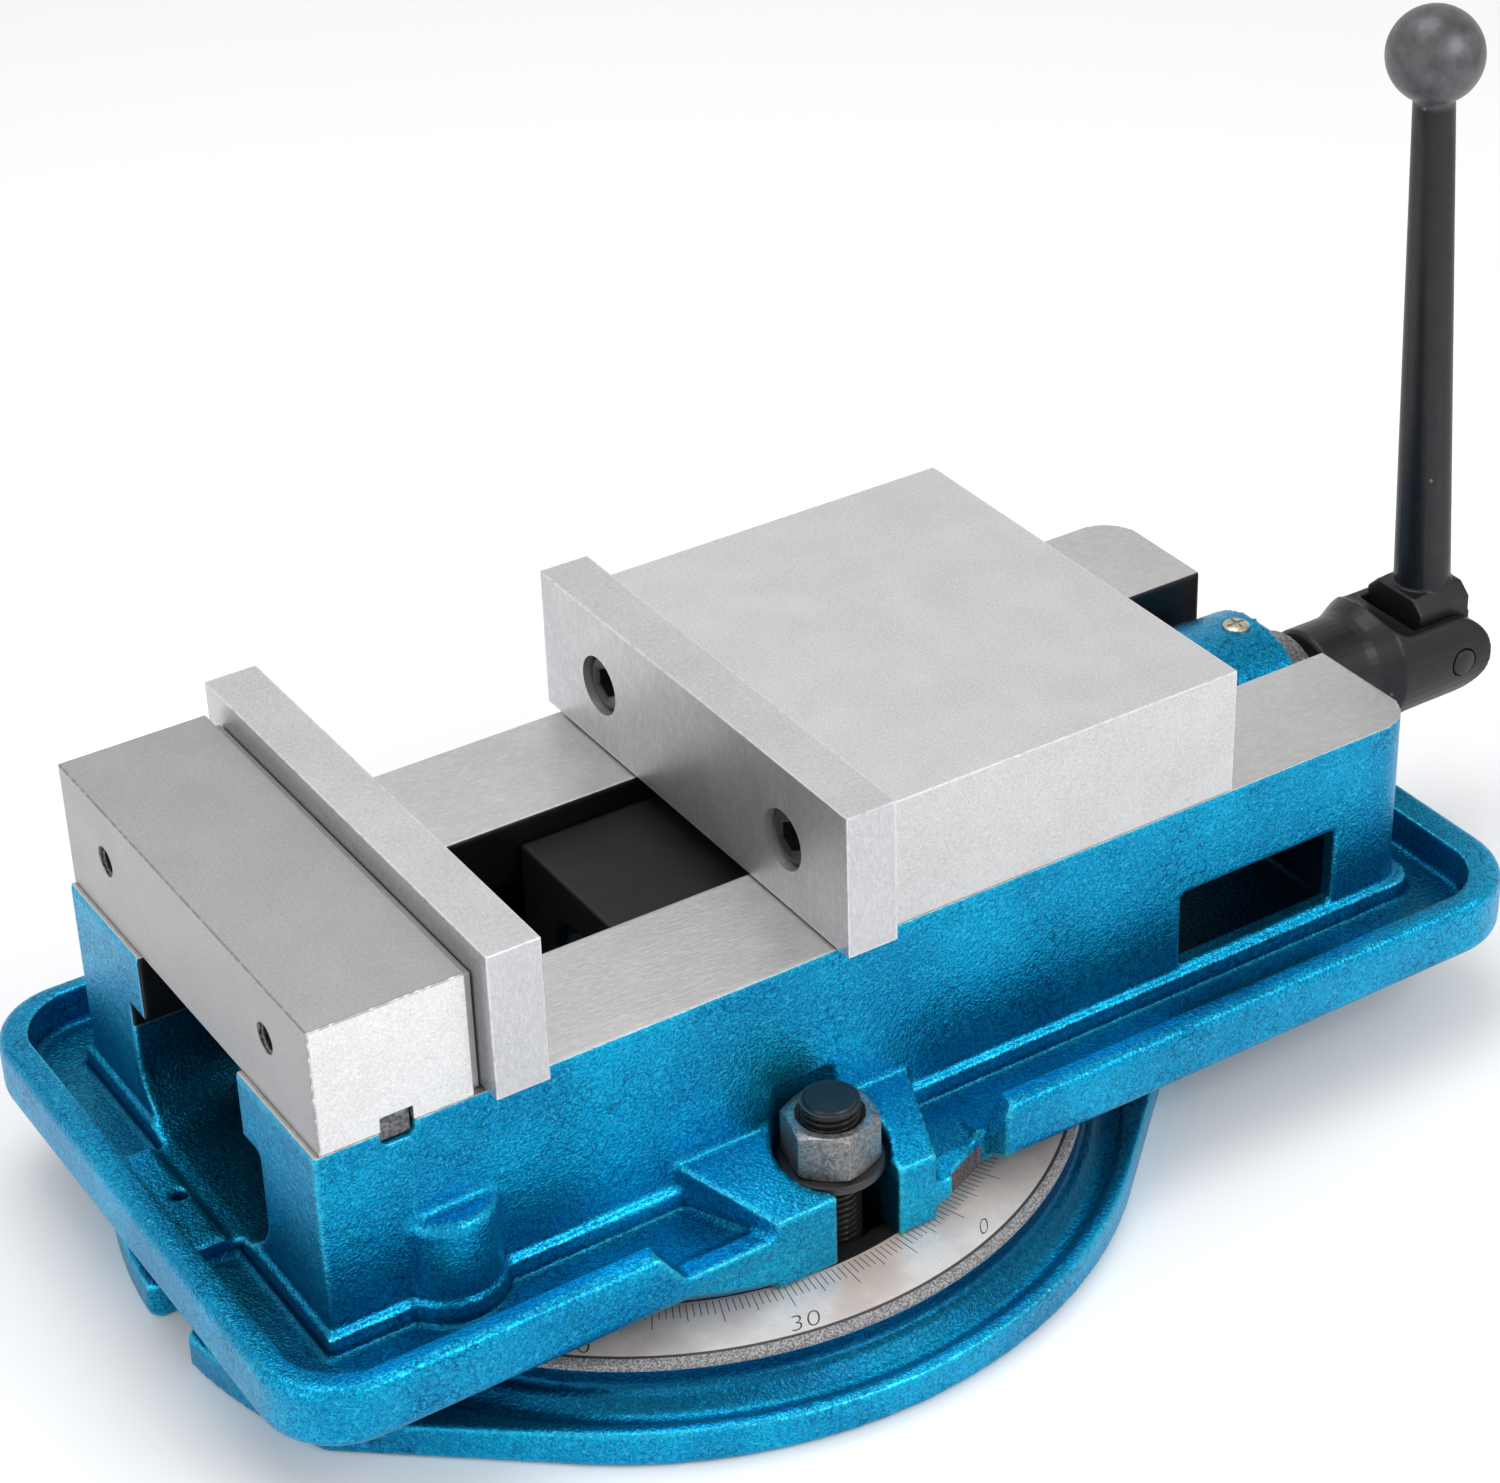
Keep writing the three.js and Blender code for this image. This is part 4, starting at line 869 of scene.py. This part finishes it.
def plate_screw(node, body, inward, material):
    """A socket head screw: a plain round head with a hexagon socket, and a threaded shank."""
    _, y, z = middle(node)
    low, high = span(node, 0)
    front, tip = (low, high) if inward > 0 else (high, low)
    head, shank, socket = SCREW_HEAD["r"], SHANK["r"], hex_radius(SCREW_HEAD["socket"])
    rows = [(0, tip), (shank - SHANK["edge"], tip), (shank, tip - inward * SHANK["edge"])]
    under = front + inward * SCREW_HEAD["long"]
    thread = thread_rows(shank, SHANK["thread"], SHANK["pitch"], min(under, tip) + SHANK["plain"],
                         max(under, tip) - SHANK["plain"])
    rows += thread if inward < 0 else thread[::-1]
    edge, deep = SCREW_HEAD["edge"], SCREW_HEAD["deep"]
    rows += [(shank, under), (head, under), (head, front + inward * edge), (head - edge, front),
             (SCREW_HEAD["mouth"], front), (socket, front + inward * SCREW_HEAD["chamfer"]),
             (socket, front + inward * deep), (0, front + inward * (deep + 1))]
    turned(node + "_turned", rows, (0, y, z), "x", material, body, 72, node)


def plate_screws(material):
    for name, _ in SIDES:
        plate_screw(f"moving_jaw_screw_{name}", "moving_jaw", 1, material)
        plate_screw(f"fixed_jaw_screw_{name}", "vise", -1, material)


# ---------------------------------------------------------------- clamp hardware
STUD_R = 7.9
STUD = {"head_top": 11.6, "start": 14, "thread": 1.3, "pitch": 2.0}
WASHER = {"clearance": 0.7, "edge": 0.5}
NUT = {"flats": 23.0, "spin": -11.75, "lean": 28, "clearance": 0.1, "countersink": 1.3}


def clamp_bolt(name, material):
    """A T bolt: a square head in the base's slot, with a threaded stud standing on it."""
    node = f"clamp_bolt_{name}"
    x, y, _ = middle(node)
    foot, tip = span(node, 2)
    head_top, start = STUD["head_top"], STUD["start"]
    low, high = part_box(node)
    head = bpy.data.meshes.new("head")
    b = bmesh.new()
    bmesh.ops.create_cube(b, size=1)
    b.to_mesh(head)
    b.free()
    size = ((high.x - low.x) / MM, (high.y - low.y) / MM, head_top - foot)
    head.transform(Matrix.Translation(Vector((x, y, (foot + head_top) / 2)) * MM)
                   @ Matrix.Diagonal((*(s * MM for s in size), 1)))
    head = evaluated(head, ("BEVEL", {"width": 0.8 * MM, "segments": 3}))
    show_piece(f"clamp_head_{name}", head, material, "vise")
    rows = [(0, head_top - 0.5), (STUD_R, head_top - 0.5), (STUD_R, start)]
    rows += thread_rows(STUD_R, STUD["thread"], STUD["pitch"], start, tip - 0.6, 16)
    rows += [(STUD_R - 0.9, tip - 0.5), (STUD_R - 1.3, tip), (STUD_R - 2.2, tip), (0, tip - 0.1)]
    turned(f"clamp_stud_{name}", rows, (x, y, 0), "z", material, "vise", 96, node)


def clamp_washer(name, material):
    node = f"clamp_washer_{name}"
    x, y, _ = middle(node)
    bottom, top = span(node, 2)
    left, right = span(node, 0)
    outer = (right - left) / 2
    inner, edge = STUD_R + WASHER["clearance"], WASHER["edge"]
    rows = [(inner, bottom), (outer - edge, bottom), (outer, bottom + edge), (outer, top - edge),
            (outer - edge * 0.4, top - edge * 0.3), (outer - edge, top), (inner + edge, top),
            (inner, top - edge), (inner, bottom)]
    turned(f"clamp_washer_{name}_turned", rows, (x, y, 0), "z", material, "vise", 96, node)


def clamp_nut(name, side, material):
    """A hexagon nut whose corners are cut back by a cone at both ends."""
    node = f"clamp_nut_{name}"
    x, y, _ = middle(node)
    bottom, top = span(node, 2)
    flats = hex_radius(NUT["flats"], -side * NUT["spin"])
    face_r, slope = NUT["flats"] / 2 - 0.3, math.tan(math.radians(NUT["lean"]))

    def crown(face, sign):
        return lambda angles: face - sign * np.maximum(flats(angles) - face_r, 0) * slope

    bore, countersink = STUD_R + NUT["clearance"], NUT["countersink"]
    rows = [(bore, bottom), (face_r, bottom), (flats, crown(bottom, -1)), (flats, crown(top, 1)),
            (face_r, top), (bore + countersink, top), (bore, top - countersink - 0.1), (bore, bottom)]
    turned(f"clamp_nut_{name}_forged", rows, (x, y, 0), "z", material, "vise", 144, node,
           smooth_angle=22)


def clamps(oxide, nut_steel):
    for name, side in SIDES:
        clamp_bolt(name, oxide)
        clamp_washer(name, oxide)
        clamp_nut(name, side, nut_steel)


# ---------------------------------------------------------------- screw, collar, hub, pin, handle
AXIS = (0, middle("lead_screw")[1], middle("lead_screw")[2])
SCREW_R = 11.0
SCREW_THREAD = {"depth": 2.2, "pitch": 5.0, "end": 168.0}
SHOULDER = {"r": 15, "start": 172, "end": 177.4, "edge": 0.6}
JOURNAL = {"r": 10.0, "end": 227}
SPIGOT = {"r": 9, "end": 258}
PIN_R = 4.2


def lead_screw(steel):
    """The threaded rod, its thrust shoulder, its journal in the housing and the spigot in the hub."""
    start, end = span("lead_screw", 0)
    wide, edge, left, right = SHOULDER["r"], SHOULDER["edge"], SHOULDER["start"], SHOULDER["end"]
    rows = [(0, start), (SCREW_R - 3, start), (SCREW_R - 1.5, start + 1.5)]
    rows += thread_rows(SCREW_R, SCREW_THREAD["depth"], SCREW_THREAD["pitch"], start + 1.6,
                        SCREW_THREAD["end"])
    rows += [(SCREW_R, left - 2), (SCREW_R, left), (wide - edge, left), (wide, left + edge),
             (wide, right - edge),
             (wide - edge, right), (JOURNAL["r"], right), (JOURNAL["r"], JOURNAL["end"]),
             (SPIGOT["r"], JOURNAL["end"]), (SPIGOT["r"], SPIGOT["end"]), (SPIGOT["r"] - 1, end),
             (0, end)]
    turned("lead_screw_threaded", rows, AXIS, "x", steel, "screw", 96, "lead_screw")


def screw_collar(steel):
    x0, x1 = span("screw_collar", 0)
    low, high = span("screw_collar", 2)
    r = (high - low) / 2
    bore = JOURNAL["r"] + 0.1
    rows = [(bore, x0), (r - 1, x0), (r - 0.3, x0 + 0.3), (r, x0 + 1), (r, x1 - 1), (r - 0.3, x1 - 0.3),
            (r - 1, x1), (bore, x1), (bore, x0)]
    turned("screw_collar_turned", rows, AXIS, "x", steel, "screw", 128, "screw_collar")


def handle_pin(steel):
    y0, y1 = span("handle_pin", 1)
    x, _, z = middle("handle_pin")
    r = PIN_R
    rows = [(0, y0), (r - 0.8, y0), (r - 0.2, y0 + 0.35), (r, y0 + 1), (r, y1 - 1), (r - 0.2, y1 - 0.35),
            (r - 0.8, y1), (0, y1)]
    turned("handle_pin_turned", rows, (x, 0, z), "y", steel, "screw", 64, "handle_pin")


def handle(oxide):
    cast("handle_hub", "handle_hub_forged", 0.45 * MM, 6, oxide, "screw")
    cast("handle_arm", "handle_arm_forged", 0.5 * MM, 6, oxide, "handle", arm_weight,
         round_arm)


ARM_TILT = math.radians(-3.3)
ARM_FOOT_TOP = 21.0
ARM_FADE = 10
ARM_BALL = {"r": 14.1, "z": 191.9, "skin": 0.6, "below": 0.82}
ROD_SQUARENESS = 2.8


def arm_frame(co):
    """Corners as seen from the pin: across the arm each way and along it, in millimetres; and two axes."""
    pin = np.array(middle("handle_pin")) * MM
    along = np.array([math.sin(ARM_TILT), 0, math.cos(ARM_TILT)])
    across = np.array([math.cos(ARM_TILT), 0, -math.sin(ARM_TILT)])
    off = co - pin
    return off @ across / MM, off[:, 1] / MM, off @ along / MM, across, along


def arm_weight(co):
    """The foot was milled after forging, so its edges are crisper."""
    return np.where(arm_frame(co)[2] < ARM_FOOT_TOP + 0.4, 0.35, 1.0)


def round_arm(co):
    """Moves the ball's corners onto a true sphere, and the rod's onto a softly squared section."""
    _, _, height, across, along = arm_frame(co)
    radius, centre = ARM_BALL["r"], ARM_BALL["z"]
    ball = np.array(middle("handle_pin")) * MM + along * centre * MM
    off = co - ball
    distance = np.linalg.norm(off, axis=1)
    on_ball = (distance < (radius + ARM_BALL["skin"]) * MM) & (height > centre - radius * ARM_BALL["below"])
    co[on_ball] = ball + off[on_ball] * (radius * MM / distance[on_ball])[:, None]
    u, v, height, _, _ = arm_frame(co)
    r = np.hypot(u, v) + 1e-9
    power = ROD_SQUARENESS
    shape = (np.abs(u / r) ** power + np.abs(v / r) ** power) ** (-1 / power) / 2 ** (0.5 - 1 / power)
    low, high = ARM_FOOT_TOP + 1.5, centre - radius
    fade = np.clip((height - low) / ARM_FADE, 0, 1) * np.clip((high - height) / ARM_FADE, 0, 1)
    change = fade * (shape - 1) * MM
    return co + np.outer(u * change, across) + np.outer(v * change, [0, 1, 0])


def oil_screw(zinc):
    machined("lubrication_screw", "lubrication_screw_head", 0.12, zinc, "vise")


# ---------------------------------------------------------------- put it together
def carried_over(materials):
    """CAD nodes that stay as they are, mostly inside, get their finish in their own slots."""
    for material, names in materials:
        for name in names:
            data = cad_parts[name]
            for slot in data.material_slots:
                slot.material = material
            if not data.material_slots:
                data.data.materials.append(material)


add_camera()
add_world()
add_lights()
add_floor()
bpy.context.scene.view_settings.view_transform = "Standard"
OXIDE = black_oxide("oxide_finish", (0.015, 0.015, 0.017), 0.5, (0.30, 0.44))
HARDWARE_OXIDE = black_oxide("hardware_oxide_finish", (0.018, 0.018, 0.02), 0.75, (0.3, 0.45))
NUT_STEEL = worn_steel("nut_finish", (0.24, 0.23, 0.225), (0.44, 0.425, 0.415))
COLLAR_STEEL = worn_steel("collar_finish", (0.13, 0.125, 0.125), (0.35, 0.34, 0.34))
KEY_STEEL = worn_steel("key_finish", (0.11, 0.105, 0.105), (0.30, 0.29, 0.29))
BLACK_IRON = black_oxide("iron_finish", (0.012, 0.012, 0.0125), 0.12, (0.42, 0.6))
SCREW_STEEL = turned_steel("screw_finish", (0.40, 0.40, 0.41), (1.4, 0.08, 0.08))
PLAIN_STEEL = turned_steel("plain_finish", (0.45, 0.45, 0.46), (1, 1, 1))
ZINC = turned_steel("zinc_finish", (0.66, 0.61, 0.50), (0.8, 0.8, 0.8))

castings()
INK = ink()
scale_lines(INK)
scale_numbers(INK)
jaws(KEY_STEEL, BLACK_IRON)
tapped_holes(KEY_STEEL)
plate_screws(HARDWARE_OXIDE)
clamps(HARDWARE_OXIDE, NUT_STEEL)
lead_screw(SCREW_STEEL)
screw_collar(COLLAR_STEEL)
handle_pin(OXIDE)
handle(OXIDE)
oil_screw(ZINC)
carried_over([
    (PLAIN_STEEL, ["centre_pivot", "half_ball", "thrust_washer_front", "thrust_washer_rear"]),
    (ZINC, ["thrust_needle_cage"]),
    (HARDWARE_OXIDE, ["fixed_jaw_bolt_near", "fixed_jaw_bolt_far", "rear_set_screw", "collar_set_screw"]),
])
